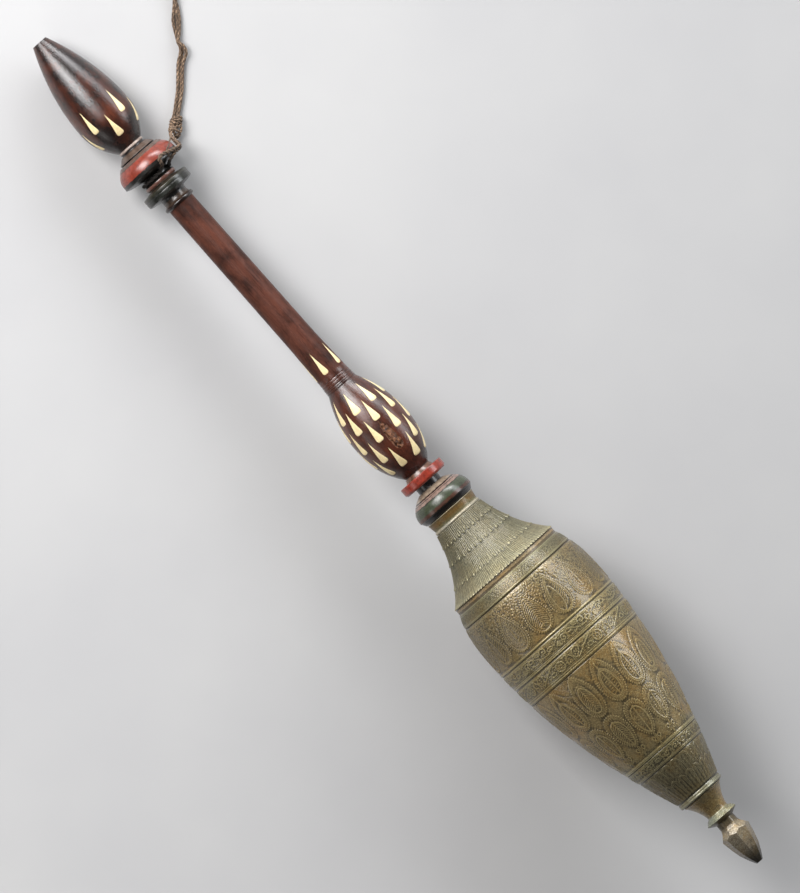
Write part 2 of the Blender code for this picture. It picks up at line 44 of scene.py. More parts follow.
# The photograph's frame, and where the staff's two ends are in it, in pixels
PHOTO_WIDTH = 800
PHOTO_HEIGHT = 893
PHOTO_CUT_END = (39.4, 42.7)
PHOTO_TIP = (760.7, 860.4)
CAMERA_DISTANCE = 12.0
CAMERA_SIGHT = 100.0
SENSOR_WIDTH = 36.0

# The staff's axis, from the CAD nodes at its two ends
END_RING_DEPTH = 0.002


def end_centre(node, side):
    """The middle of the ring of points at a node's end."""
    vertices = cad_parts[node].data.vertices
    points = np.array(sorted({tuple(round(value, 6) for value in vertex.co) for vertex in vertices}))
    reach = side * points[:, 0]
    return Vector(points[reach > reach.max() - END_RING_DEPTH].mean(axis=0))


CUT_END = end_centre("handle", -1)
TIP = end_centre("brass_foot", 1)
TILT = math.atan2(TIP.z - CUT_END.z, TIP.x - CUT_END.x)
AXIS = Matrix.Translation(CUT_END) @ Matrix.Rotation(-TILT, 4, "Y")


def camera_matrix():
    """The camera's place: square on to the staff's axis, with its two ends where the photograph has them."""
    middle = complex(PHOTO_WIDTH, -PHOTO_HEIGHT) / 2
    seen = [complex(x, -y) - middle for x, y in (PHOTO_CUT_END, PHOTO_TIP)]
    zoom = (seen[1] - seen[0]) / (TIP - CUT_END).length
    foot = -seen[0] / zoom
    spin = Matrix.Rotation(-math.atan2(zoom.imag, zoom.real), 4, "Z")
    return AXIS @ Matrix.Translation((foot.real, foot.imag, CAMERA_DISTANCE)) @ spin, abs(zoom)


CAMERA, PIXELS_PER_METRE = camera_matrix()


def new_object(name, data):
    """A new object, linked to the scene."""
    thing = bpy.data.objects.new(name, data)
    bpy.context.scene.collection.objects.link(thing)
    return thing


def make_camera():
    camera = new_object("camera", bpy.data.cameras.new("camera"))
    camera.data.lens = PIXELS_PER_METRE * CAMERA_DISTANCE * SENSOR_WIDTH / PHOTO_HEIGHT
    camera.data.sensor_width = SENSOR_WIDTH
    camera.data.clip_end = CAMERA_SIGHT
    camera.matrix_world = CAMERA
    bpy.context.scene.camera = camera


def seen_spot(x, y, height):
    """The spot that the camera sees at a pixel of the photograph, at a height over the floor."""
    ray = Vector((x - PHOTO_WIDTH / 2, PHOTO_HEIGHT / 2 - y, -PIXELS_PER_METRE * CAMERA_DISTANCE))
    way = CAMERA.to_3x3() @ ray
    start = CAMERA.translation
    return start + way * ((height * MM - start.z) / way.z)


make_camera()


class Shade:
    """A material and the short calls that build its nodes."""

    def __init__(self, name, **plain):
        self.material = bpy.data.materials.new(name)
        self.material.use_nodes = True
        self.tree = self.material.node_tree
        self.shader = self.tree.nodes["Principled BSDF"]
        self.finish(**plain)

    def feed(self, socket, value):
        if isinstance(value, bpy.types.NodeSocket):
            self.tree.links.new(value, socket)
        elif isinstance(value, tuple) and socket.type == "RGBA":
            socket.default_value = (*value, 1)
        else:
            socket.default_value = value

    def node(self, kind, inputs, **settings):
        made = self.tree.nodes.new("ShaderNode" + kind)
        for name, value in settings.items():
            setattr(made, name, value)
        for socket, value in inputs.items():
            self.feed(made.inputs[socket], value)
        return made

    def place(self, stretch=(1, 1, 1)):
        """The spot on the piece in its own millimetres, with each axis stretched."""
        scale = tuple(value / MM for value in stretch)
        spot = self.node("TexCoord", {}).outputs["Object"]
        return self.node("Mapping", {"Vector": spot, "Scale": scale}).outputs[0]

    def coordinate(self, axis):
        """One coordinate of the spot on the piece, in millimetres."""
        return self.node("SeparateXYZ", {"Vector": self.place()}).outputs[axis]

    def attribute(self, name, output="Fac"):
        return self.node("Attribute", {}, attribute_name=name).outputs[output]

    def noise(self, scale, detail, roughness=0.55, stretch=(1, 1, 1), distortion=0.0, spot=None):
        vector = self.place(stretch) if spot is None else spot
        inputs = {"Vector": vector, "Scale": scale, "Detail": detail, "Roughness": roughness}
        return self.node("TexNoise", {**inputs, "Distortion": distortion}).outputs["Fac"]

    def math(self, operation, first, second, clamp=False):
        return self.node("Math", {0: first, 1: second}, operation=operation, use_clamp=clamp).outputs[0]

    def span(self, value, low, high, start=0.0, end=1.0):
        """Maps low to high onto start to end, and no further."""
        inputs = {"Value": value, "From Min": low, "From Max": high, "To Min": start, "To Max": end}
        return self.node("MapRange", inputs).outputs[0]

    def mix(self, share, first, second, blend="MIX"):
        inputs = {0: share, 6: first, 7: second}
        return self.node("Mix", inputs, data_type="RGBA", blend_type=blend).outputs[2]

    def times(self, colour, factor):
        return self.mix(1.0, colour, factor, blend="MULTIPLY")

    def tint(self, colour, other, by, low, high, share=1.0):
        """Turns a colour into another by up to a share, as what it goes by runs from low to high."""
        return self.mix(self.span(by, low, high, 0.0, share), colour, other)

    def ramp(self, value, stops, interpolation="LINEAR"):
        made = self.node("ValToRGB", {"Fac": value})
        ramp = made.color_ramp
        ramp.interpolation = interpolation
        while len(ramp.elements) < len(stops):
            ramp.elements.new(1.0)
        for element, (spot, colour) in zip(ramp.elements, stops):
            element.position = spot
            element.color = (*colour, 1)
        return made.outputs["Color"]

    def bump(self, height, distance):
        inputs = {"Height": height, "Distance": distance * MM, "Strength": 1.0}
        return self.node("Bump", inputs).outputs["Normal"]

    def finish(self, **inputs):
        """Feeds the shader's own sockets, named here with underscores."""
        for name, value in inputs.items():
            self.feed(self.shader.inputs[name.replace("_", " ")], value)
        return self.material


# Turned outlines

# In degrees, how far a corner turns that is rounded off, and the most that its arc takes of each run
SHARP_TURN = 24
ROUNDED_SHARE = 0.45


class Outline:
    """A turned outline: (place, radius) points along the staff."""

    def __init__(self, place, radius):
        self.points = [(place, radius)]

    def line(self, *points):
        """Straight runs from point to point."""
        self.points += points
        return self

    def curve(self, place, radius, count, shape):
        """Even steps to a place. The shape turns the part of the run into the part of the radius's change."""
        start, foot = self.points[-1]
        for step in range(1, count + 1):
            part = step / count
            self.points.append((start + (place - start) * part, foot + (radius - foot) * shape(part)))
        return self

    def to(self, place, radius, count):
        """A straight run in steps."""
        return self.curve(place, radius, count, lambda part: part)

    def rise(self, place, radius, power, count):
        """Swells out to a crest at a place."""
        return self.curve(place, radius, count, lambda part: 1 - (1 - part) ** power)

    def fall(self, place, radius, power, count):
        """Falls away from a crest here."""
        return self.curve(place, radius, count, lambda part: part**power)

    def bulge(self, place, radius, count=8):
        """A half-round bead from here to a place, with its crest at a radius."""
        return self.curve(place, radius, count, lambda part: math.sin(math.pi * part) ** 0.6)

    def groove(self, place, width, depth):
        """A fine turned groove ahead, cut into a straight or nearly straight run."""
        radius = self.points[-1][1]
        return self.line((place - width / 2, radius), (place, radius - depth), (place + width / 2, radius))

    def softened(self, size):
        """The points again, with each sharp corner rounded off."""
        spots = [Vector(point) for point in self.points]
        smooth = [spots[0]]
        for before, corner, after in zip(spots, spots[1:], spots[2:]):
            back, on = before - corner, after - corner
            if min(back.length, on.length) < 1e-6:
                continue
            if math.degrees(math.pi - back.angle(on)) < SHARP_TURN:
                smooth.append(corner)
                continue
            reach = [way.normalized() * min(size, way.length * ROUNDED_SHARE) for way in (back, on)]
            near, far = corner + reach[0], corner + reach[1]
            for part in (0, 0.33, 0.67, 1):
                smooth.append(near.lerp(corner, part).lerp(corner.lerp(far, part), part))
        smooth.append(spots[-1])
        return np.array([(spot.x, spot.y) for spot in smooth])


# Meshes


def around(columns):
    """Angles in even steps all round."""
    return np.arange(columns) / columns * 360


def round_points(places, radii, angles):
    """Points of a surface round the axis, for rows of places and columns of angles."""
    turns = np.radians(angles)[None, :]
    radii = np.broadcast_to(radii, (len(places), len(angles)))
    along = np.broadcast_to(np.asarray(places)[:, None], radii.shape)
    return np.stack([along, -radii * np.sin(turns), radii * np.cos(turns)], axis=-1)


def turned(line, angles):
    """An outline's points all round."""
    return round_points(line[:, 0], line[:, 1][:, None], angles)


def above_floor(points):
    """Flattens what would reach under the surface that the staff lies on."""
    floor = -(CUT_END.z / MM + points[..., 0] * math.sin(TILT)) / math.cos(TILT)
    points[..., 2] = np.maximum(points[..., 2], floor)
    return points


def ring_faces(index, hollow):
    """Faces between rings of vertex numbers. A hollow skin closes on its first ring. Others get ends."""
    near = index if hollow else index[:-1]
    far = np.roll(index, -1, axis=0) if hollow else index[1:]
    quads = np.stack([near, np.roll(near, -1, 1), np.roll(far, -1, 1), far], axis=-1).reshape(-1, 4).tolist()
    return quads if hollow else quads + [index[0][::-1].tolist(), index[-1].tolist()]


def smooth_mesh(name, vertices, faces):
    mesh = bpy.data.meshes.new(name)
    mesh.from_pydata(vertices, [], faces)
    mesh.shade_smooth()
    return mesh


def skin(name, points, hollow):
    """A mesh through rows of points round the axis."""
    index = np.arange(points[..., 0].size).reshape(points.shape[:2])
    return smooth_mesh(name, (points.reshape(-1, 3) * MM).tolist(), ring_faces(index, hollow))


def add_piece(name, mesh, finishes, nodes, matrix=AXIS):
    """Puts a piece in its place, in the body, in the stead of its CAD nodes."""
    for finish in finishes:
        mesh.materials.append(finish)
    piece = new_object(name, mesh)
    piece.matrix_world = matrix
    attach(piece, "root")
    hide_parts(*nodes)
    return piece


def store(mesh, name, values):
    """Keeps a number for each vertex, which the material reads by name."""
    mesh.attributes.new(name, "FLOAT", "POINT").data.foreach_set("value", np.ravel(values).astype(np.float32))


# Chased relief


def hump(distance):
    """The profile of a stroke or a dot: 1 in the middle, and smoothly down to 0 at a distance of 1."""
    return np.clip(1 - distance**2, 0, None) ** 2


class Relief:
    """Heights over a stretch of turned metal, in rows along the staff and columns round it."""

    def __init__(self, start, end, row_step, columns, radius_at):
        self.places = np.linspace(start, end, round((end - start) / row_step) + 1)
        self.angles = around(columns)
        self.radius_at = radius_at
        self.radii = radius_at(self.places)
        self.raised, self.sunk, self.ground, self.taken = np.zeros((4, len(self.places), columns))

    def rings(self, *rows):
        """Lines all round, as (place, width, height): raised, or sunk where the height is negative."""
        for place, width, height in rows:
            lift = height * hump((self.places - place) / width)[:, None]
            self.raised[:] = np.maximum(self.raised, lift)
            self.sunk[:] = np.minimum(self.sunk, lift)

    def heights(self):
        return self.raised + self.sunk + self.ground

    def crevice(self):
        """How far each spot lies over what is round it."""
        beside = self.heights()
        for axis in (0, 1):
            steps = [np.roll(beside, step, axis) for step in (-5, -3, -1, 1, 3, 5)]
            beside = sum(steps) / len(steps)
        return self.heights() - beside

    def outer_points(self):
        return round_points(self.places, self.radii[:, None] + self.heights(), self.angles)


class Cell:
    """A window on a relief with its own axes in millimetres: x along the staff, y round it."""

    def __init__(self, relief, place, angle, reach, lean=0.0, free_only=False):
        before, after, beside = reach
        self.relief = relief
        self.free_only = free_only
        rows = np.flatnonzero((relief.places >= place - before) & (relief.places <= place + after))
        radius = relief.radius_at(np.array([place]))[0]
        turn = (relief.angles - angle + 180) % 360 - 180
        columns = np.flatnonzero(np.abs(turn) <= math.degrees(beside / radius))
        self.pick = np.ix_(rows, columns)
        along = (relief.places[rows] - place)[:, None]
        across = (np.radians(turn[columns]) * radius)[None, :]
        lean = math.radians(lean)
        self.x = along * math.cos(lean) + across * math.sin(lean)
        self.y = across * math.cos(lean) - along * math.sin(lean)

    def press(self, heights):
        """Keeps the higher of what is there and what is raised, or the lower of what is sunk."""
        relief = self.relief
        if self.free_only:
            heights = heights * (1 - relief.taken[self.pick])
        relief.raised[self.pick] = np.maximum(relief.raised[self.pick], heights)
        relief.sunk[self.pick] = np.minimum(relief.sunk[self.pick], heights)

    def distance(self, points):
        nearest = np.full(self.x.shape, np.inf)
        for (ax, ay), (bx, by) in zip(points, points[1:]):
            dx, dy = bx - ax, by - ay
            part = np.clip(((self.x - ax) * dx + (self.y - ay) * dy) / (dx * dx + dy * dy + 1e-9), 0, 1)
            gap = (self.x - ax - part * dx) ** 2 + (self.y - ay - part * dy) ** 2
            nearest = np.minimum(nearest, gap)
        return np.sqrt(nearest)

    def stroke(self, points, width, height):
        self.press(height * hump(self.distance(points) / width))

    def dots(self, points, size, height):
        for x, y in points:
            self.press(height * hump(np.hypot(self.x - x, self.y - y) / size))

    def dome(self, points, height):
        """Lifts the ground in a closed outline that is symmetric about y = 0, and keeps filler out of it."""
        xs, ys = np.array(sorted(point for point in points if point[1] >= 0)).T
        edge = np.interp(self.x, xs, ys, left=0, right=0)
        share = np.clip(1 - (np.abs(self.y) / np.maximum(edge, 1e-3)) ** 2, 0, 1) * (edge > 0)
        relief, pick = self.relief, self.pick
        relief.ground[pick] = np.maximum(relief.ground[pick], height * np.sqrt(share))
        relief.taken[pick] = np.maximum(relief.taken[pick], np.minimum(1, share * 5))


LEAF_STEPS = 30
ELLIPSE_STEPS = 24


def leaf(length, half_width, point):
    """A closed leaf about y = 0, round at x = length. A higher point makes its other end sharper."""
    turns = [math.pi * step / LEAF_STEPS for step in range(LEAF_STEPS + 1)]
    swell = [math.sin(turn) * math.sin(turn / 2) ** point for turn in turns]
    widths = [across / max(swell) * half_width for across in swell]
    upper = [((1 - math.cos(turn)) / 2 * length, width) for turn, width in zip(turns, widths)]
    return upper + [(x, -y) for x, y in reversed(upper)]


def scaled(points, share, middle):
    """Points drawn in towards a spot on the x axis."""
    return [(middle + (x - middle) * share, y * share) for x, y in points]


def ellipse(x, y, half_length, half_width):
    turns = [math.tau * step / ELLIPSE_STEPS for step in range(ELLIPSE_STEPS + 1)]
    return [(x + half_length * math.cos(turn), y + half_width * math.sin(turn)) for turn in turns]


def spiral(x, y, radius, start, turns, steps=14):
    """A curl that winds in from a radius to its middle. Turns may be negative."""
    points = []
    for step in range(steps + 1):
        part = step / steps
        angle = start + math.tau * turns * part
        reach = radius * (1 - part) ** 0.8
        points.append((x + reach * math.cos(angle), y + reach * math.sin(angle)))
    return points


def lengths_along(points):
    """How far along a line each of its points is."""
    return np.concatenate([[0], np.cumsum(np.linalg.norm(np.diff(points, axis=0), axis=1))])


def spaced(points, pitch):
    """Points a pitch apart along a line."""
    along = lengths_along(points)
    stops = np.linspace(0, along[-1], max(2, round(along[-1] / pitch) + 1))[:-1]
    return [tuple(np.interp(stop, along, line) for line in zip(*points)) for stop in stops]


def shifted(points, x, y=0.0, flip=False):
    """Points moved by x and y, and turned end for end first where flip is set."""
    side = -1 if flip else 1
    return [(px * side + x, py * side + y) for px, py in points]


def jitter(amount):
    return random.uniform(-amount, amount)


def ripples(relief, count, along, around):
    """A smooth random field of about -1 to 1, from waves along and round the metal."""
    total = np.zeros_like(relief.raised)
    turns = np.radians(relief.angles)[None, :]
    for _ in range(count):
        rate = random.uniform(*along) * random.choice((-1, 1))
        phase = relief.places[:, None] * rate + turns * random.randint(*around)
        total += np.sin(phase + random.uniform(0, math.tau))
    return total / math.sqrt(count)


def roughen(relief, depth=0.09, grain=0.05, wear=0.22):
    """Uneven hand-beaten ground, a fine cast grain, and ornament that is worn low in places."""
    relief.ground += depth * ripples(relief, 8, (0.06, 0.32), (3, 14)) / 2
    relief.ground += grain * ripples(relief, 18, (0.8, 2.6), (20, 120)) / 2
    low = np.clip(0.5 + 0.7 * ripples(relief, 10, (0.08, 0.4), (3, 30)), 0, 1)
    relief.raised *= 1 - wear * low


def filler(relief, low, high, pitch, height):
    """Small curls and dots over the ground that no leaf has taken."""
    radius = relief.radius_at(np.array([(low + high) / 2]))[0]
    columns = round(math.tau * radius / pitch)
    rows = max(1, round((high - low) / pitch))
    for row in range(rows):
        for column in range(columns):
            place = low + (row + 0.5) * (high - low) / rows + jitter(pitch * 0.25)
            angle = (column + 0.5 * (row % 2)) * 360 / columns + jitter(60 / columns)
            cell = Cell(relief, place, angle, (pitch, pitch, pitch), free_only=True)
            lift = height * random.uniform(0.7, 1.2)
            if random.random() < 0.45:
                cell.dots([(0, 0)], pitch * random.uniform(0.26, 0.36), lift)
            else:
                turns = random.choice((-1, 1)) * random.uniform(0.5, 0.9)
                curl = spiral(0, 0, pitch * random.uniform(0.4, 0.55), random.uniform(0, math.tau), turns, 6)
                cell.stroke(curl, pitch * 0.2, lift)


ROPE_PITCH = 2.0
ROPE_BEAD = 0.9
ROPE_HEIGHT = 0.46


def rope_edge(cell, points, middle=0.0):
    """Beads along a leaf's outline, with a short dash inwards between them, towards a spot on its axis."""
    cell.dots(spaced(points, ROPE_PITCH), ROPE_BEAD, ROPE_HEIGHT)
    outer, inner = (spaced(scaled(points, share, middle), ROPE_PITCH * share) for share in (0.9, 0.78))
    for start, end in zip(outer, inner):
        cell.stroke([start, end], 0.42, ROPE_HEIGHT * 0.6)


VEIN_PITCH = 1.9
VEIN_WIDTH = 0.5
VEIN_HEIGHT = 0.34


def herringbone(cell, start, end, half_width):
    """A central vein from start to end with curved slanting strokes on both sides, which point to the end."""
    side = 1 if end > start else -1
    length = abs(end - start)
    cell.stroke([(start, 0), (end, 0)], VEIN_WIDTH, VEIN_HEIGHT)
    for number in range(int(length / VEIN_PITCH)):
        part = number * VEIN_PITCH / length
        x = start + side * number * VEIN_PITCH
        reach = half_width * math.sin(math.pi * (0.14 + 0.76 * part)) ** 0.6
        for edge in (-1, 1):
            bend = (x + side * reach * 0.28, edge * reach * 0.6)
            tip = (x + side * reach * 0.62, edge * reach)
            cell.stroke([(x, edge * 0.5), bend, tip], VEIN_WIDTH, VEIN_HEIGHT)


# The brass body: its outline and its bands, from the lip to the small end ring
LIP_RADIUS = 51.2
PLAIN_BAND = (561.6, 566.2)
PLAIN_BAND_DEPTH = 0.4
BELLY_START = 566.5
BELLY_CREST = 616.3
BELLY_END = 796.7
BELLY_RADIUS = 58.6
BELLY_END_RADIUS = 20.6
BRASS_WALL = 1.6
LEAVES = 15
LEAF_ANGLE = 360 / LEAVES
FIRST_LEAF = 5.0


def belly_radius(places):
    """The smooth belly under the ornament."""
    places = np.asarray(places, float)
    front = 1 - np.clip((places - BELLY_START) / (BELLY_CREST - BELLY_START), 0, 1)
    back = np.clip((places - BELLY_CREST) / (BELLY_END - BELLY_CREST), 0, 1)
    drop = (BELLY_RADIUS - LIP_RADIUS) * front**3 + (BELLY_RADIUS - BELLY_END_RADIUS) * back**1.82
    return BELLY_RADIUS - drop


# Each stretch of the body is a piece of its own, and they meet in dark grooves: start, end, row step, columns
STRETCHES = {
    "stippled_band": (561.6, 577.8, 0.45, 720),
    "leaf_band": (577.8, 626.2, 0.48, 760),
    "scroll_bands": (626.2, 659.0, 0.44, 780),
    "leaf_rows": (659.0, 751.9, 0.62, 576),
    "arches": (751.9, 801.1, 0.48, 480),
}

# The fine dots' rows, and how many there are round each
DOT_ROWS = (569.5, 570.6, 571.7, 572.8, 573.8)
DOTS_ROUND = 210


def stippled_band(relief):
    """The plain band under the lip, two ridges, rows of fine dots and two lines."""
    low, high = PLAIN_BAND
    relief.ground[(relief.places >= low) & (relief.places <= high)] -= PLAIN_BAND_DEPTH
    relief.rings((566.9, 0.55, 0.28), (568.3, 0.45, 0.16), (574.6, 0.45, 0.2), (576.2, 0.45, 0.24))
    relief.rings((577.7, 0.6, -0.6))
    for row, place in enumerate(DOT_ROWS):
        for number in range(DOTS_ROUND):
            angle = (number + row * 0.5) * 360 / DOTS_ROUND + jitter(0.45)
            cell = Cell(relief, place + jitter(0.2), angle, (1.2, 1.2, 1.4))
            cell.dots([(0, 0)], 0.62, random.uniform(0.2, 0.5))


LEAF_BAND_MIDDLE = 602.4
LEAF_GAP_MIDDLE = 614.5


def striped_leaf(cell):
    """A second outline, a dotted blade on one side and slanting strokes on the other."""
    cell.stroke(shifted(leaf(31.0, 7.2, 0.9), -14.2), 0.42, 0.3)
    cell.stroke(shifted(leaf(24.0, 3.6, 0.3), -8.0, 2.4), 0.5, 0.42)
    cell.dots(spaced(shifted(leaf(20.0, 2.4, 0.3), -6.0, 2.4), 2.2), 0.45, 0.26)
    for step in range(10):
        x = -11.5 + step * 2.3
        cell.stroke([(x, -6.4 + abs(step - 5.5) * 0.35), (x + 3.6, -1.8)], 0.5, 0.38)


def dotted_leaf(cell, outline):
    """Three dotted outlines inside each other, round a vein."""
    for share in (0.8, 0.6, 0.4):
        cell.dots(spaced(scaled(outline, share, 3.0), 1.9), 0.62, 0.36)
    cell.stroke([(-9.0, 0), (10.0, 0)], 0.45, 0.3)


def leaf_band(relief):
    """One row of leaves whose round ends point to the tip, with dotted outlines and curling tails."""
    relief.rings((577.9, 0.6, -0.6), (624.8, 0.7, 0.5), (626.1, 0.4, -0.3))
    angles = [FIRST_LEAF + LEAF_ANGLE * number + jitter(0.6) for number in range(LEAVES)]
    for number, angle in enumerate(angles):
        cell = Cell(relief, LEAF_BAND_MIDDLE + jitter(0.4), angle, (25, 24, 13.5), lean=jitter(3))
        outer = shifted(leaf(38.0, 10.2, 1.1), -19.5)
        cell.dome(outer, 0.12)
        cell.dots(spaced(outer, 1.9), 0.82, 0.5)
        middle = shifted(leaf(34.0, 8.4, 1.0), -16.4)
        cell.stroke(middle, 0.5, 0.34)
        if number % 3 == 2:
            striped_leaf(cell)
        elif number % 3 == 0:
            herringbone(cell, -13.0, 14.0, 7.0)
            cell.stroke(spiral(13.6, 1.6, 2.2, 0, 0.8), 0.45, 0.34)
        else:
            dotted_leaf(cell, middle)
        for edge in (-1, 1):
            cell.stroke(spiral(-20.4, edge * 3.4, 3.0, 0, edge * 1.2), 0.5, 0.34)
            cell.dots([(-16.0 + 2.0 * step, edge * (6.6 + 1.0 * step)) for step in range(4)], 0.7, 0.36)
    filler(relief, 579.2, 611.5, 2.15, 0.29)
    for angle in angles:
        cell = Cell(relief, LEAF_GAP_MIDDLE, angle + LEAF_ANGLE / 2, (5, 5, 6), free_only=True)
        cell.dots([(-3.4, -2.2), (-3.0, 2.0), (-1.4, 0), (-4.6, 0)], 0.6, 0.3)


SCROLL_MIDDLE = 632.3
SCROLLS = 18
ROSETTE_MIDDLE = 648.4
ROSETTES = 9
FIRST_ROSETTE = -9
PETALS = 10
HEART = ((-4.6, 7.4), (-2.4, 4.8), (1, 6.6), (3.6, 9.8), (3, 12.4), (-0.6, 12.6), (-3.6, 11), (-4.6, 7.4))


def scroll(cell, turn):
    """A curl in the bend of a running wave, with a bud on each side."""
    wave = [(turn * 3.4 * math.cos(math.pi * y / 20), y) for y in np.arange(-10.2, 10.3, 1.2)]
    cell.stroke(wave, 0.6, 0.3)
    cell.stroke(spiral(-turn * 1.0, 0.6, 3.4, math.pi / 2 * turn, 1.35 * turn), 0.75, 0.42)
    cell.stroke(ellipse(-turn * 2.6, 6.2, 1.7, 2.6), 0.65, 0.36)
    cell.stroke(ellipse(-turn * 2.6, 6.2, 0.5, 1.2), 0.6, 0.36)
    cell.stroke(ellipse(turn * 1.0, -5.8, 1.5, 2.6), 0.65, 0.36)
    cell.stroke([(turn * 3.6, 4.0), (turn * 2.0, 6.0), (turn * 3.2, 8.2)], 0.6, 0.34)
    cell.dots([(turn * 3.6, 2.2), (turn * 3.6, -2.2), (-turn * 3.8, -1.4), (-turn * 3.9, 2.6)], 0.75, 0.36)


def rosette(cell, x, y):
    """A ring of petals round an eye."""
    cell.stroke(ellipse(x, y, 4.0, 4.0), 0.55, 0.44)
    cell.stroke(ellipse(x, y, 1.4, 1.4), 0.5, 0.4)
    for petal in range(PETALS):
        turn = math.tau * petal / PETALS
        ends = [(x + reach * math.cos(turn), y + reach * math.sin(turn)) for reach in (1.9, 3.4)]
        cell.stroke(ends, 0.42, 0.32)


def heart_and_arch(cell):
    """A diagonal with a bud under it, then a heart and an arch, both dotted inside."""
    cell.stroke([(-4.8, -8.6), (4.8, 9.4)], 0.55, 0.46)
    cell.stroke([(-4.6, -4.0), (-1.2, -2.4), (-0.4, 3.0), (-4.4, 5.0)], 0.45, 0.34)
    cell.stroke(ellipse(2.6, -4.6, 1.5, 2.6), 0.45, 0.36)
    cell.stroke(HEART, 0.5, 0.42)
    cell.stroke([(4.6, 13.6), (0.4, 13.8), (-4.2, 16.4), (0.4, 19.4), (4.6, 19.6)], 0.5, 0.42)
    cell.dots([(0, 8.8), (-1.6, 9.6), (1.4, 10.6), (0.2, 16.6), (2.4, 16.4), (-1.8, 16.6)], 0.65, 0.36)


def scroll_bands(relief):
    """Two narrow bands: a running scroll, and rosettes, hearts and arches between diagonals."""
    relief.rings((626.4, 0.6, -0.4), (638.9, 0.5, 0.4), (640.3, 0.5, 0.36), (641.8, 0.7, -0.7))
    relief.rings((655.3, 0.5, 0.36), (657.1, 0.5, 0.36), (658.6, 0.5, -0.4))
    relief.rings(*((place, 0.4, 0.12) for place in (627.6, 637.4, 643.3, 653.9)))
    for number in range(SCROLLS):
        cell = Cell(relief, SCROLL_MIDDLE, number * 360 / SCROLLS + jitter(1.0), (6, 6, 11.5))
        scroll(cell, 1 if number % 2 else -1)
    filler(relief, 627.8, 637.0, 1.9, 0.3)
    for number in range(ROSETTES):
        angle = number * 360 / ROSETTES + FIRST_ROSETTE + jitter(0.8)
        cell = Cell(relief, ROSETTE_MIDDLE, angle, (5.6, 5.6, 21.5))
        rosette(cell, 1.0, -13.4)
        heart_and_arch(cell)
    filler(relief, 643.6, 653.4, 1.9, 0.28)


# The leaves' two rows, and the angle that the first leaf is at
FIRST_ROW_MIDDLE = 681.4
SECOND_ROW_MIDDLE = 723.6
LEAF_ROW_TURN = -9

# A dent in the second row: its middle's place and angle, its reach in each of them, and its depth
DENT = (743.0, 88)
DENT_REACH = (5.0, 9.0)
DENT_DEPTH = 1.0


def first_row_leaf(cell, veined):
    """A roped leaf, round towards the tip, with an oval that holds veins or a ladder."""
    outer = shifted(leaf(41.0, 9.9, 0.5), -20.6)
    cell.dome(outer, 0.14)
    rope_edge(cell, outer)
    cell.stroke(shifted(leaf(25.0, 5.6, 0.25), -8.6), 0.55, 0.45)
    if veined:
        herringbone(cell, -11.0, 14.0, 5.4)
        cell.dots([(-16.5, 0), (-14.2, 2.4), (-14.2, -2.4)], 0.7, 0.34)
    else:
        cell.stroke(shifted(leaf(28.0, 6.9, 0.25), -10.2), 0.45, 0.36)
        cell.stroke([(-17.0, 0.6), (15.4, -0.8)], 0.5, 0.42)
        for step in range(9):
            x = -6.0 + 2.3 * step
            cell.stroke([(x, 1.4), (x + 0.4, 3.2)], 0.45, 0.28)
            cell.stroke([(x, -2.0), (x - 0.4, -3.8)], 0.45, 0.28)
    for edge in (-1, 1):
        cell.stroke([(-19.4, edge * 2.0), (-14.6, edge * 5.2), (-9.0, edge * 6.6)], 0.42, 0.3)


def second_row_leaf(cell, veined):
    """A roped leaf, round towards the wood, on a stalk with two pairs of buds."""
    outer = shifted(leaf(33.4, 8.7, 0.35), 14.4, flip=True)
    cell.dome(outer, 0.14)
    rope_edge(cell, outer, -2)
    cell.stroke(shifted(leaf(25.0, 5.6, 0.3), 12.4, flip=True), 0.5, 0.42)
    cell.stroke([(-13.5, -0.4), (11.5, 0.4)], 0.5, 0.4)
    if veined:
        herringbone(cell, -12.0, 10.0, 4.6)
    else:
        cell.dots([(x, y) for x in np.arange(-10, 9, 2.1) for y in (-2.6, 2.6)], 0.6, 0.34)
    for edge in (-1, 1):
        cell.stroke([(15.0, edge * 0.7), (24.6, edge * 0.5)], 0.45, 0.42)
        cell.stroke(ellipse(18.0, edge * 3.2, 1.7, 1.4), 0.5, 0.42)
        cell.stroke(ellipse(21.2, edge * 2.4, 1.0, 0.9), 0.45, 0.34)


def leaf_rows(relief):
    """Two rows of leaves end to end: the first round towards the tip, the second towards the wood."""
    relief.rings((659.0, 0.6, -0.4), (749.9, 0.7, 0.4), (751.3, 0.6, 0.3))
    for number in range(LEAVES):
        angle = FIRST_LEAF + LEAF_ROW_TURN + LEAF_ANGLE * number + jitter(0.5)
        cell = Cell(relief, FIRST_ROW_MIDDLE + jitter(0.5), angle, (22, 23, 12.5), lean=jitter(2.0))
        first_row_leaf(cell, number % 2)
        place, angle = SECOND_ROW_MIDDLE + jitter(0.5), angle + jitter(0.6)
        second_row_leaf(Cell(relief, place, angle, (21, 25.5, 10.6), lean=jitter(2.0)), number % 2)
    along = (relief.places[:, None] - DENT[0]) / DENT_REACH[0]
    across = ((relief.angles[None, :] - DENT[1] + 180) % 360 - 180) / DENT_REACH[1]
    relief.ground -= DENT_DEPTH * hump(np.hypot(along, across))


FOLIATE_MIDDLE = 757.2
FOLIATE_CURLS = 24
ARCHES = 22

# Two rows of arches: where their bows start, the part of a pitch that they are turned by, and their length
ARCH_ROWS = ((764.0, 0.0, 31.5), (778.2, 0.5, 17.0))

# The two lines of an arch: how far inside its edge they are, and their height
ARCH_LINES = ((0.35, 0.34), (1.45, 0.2))


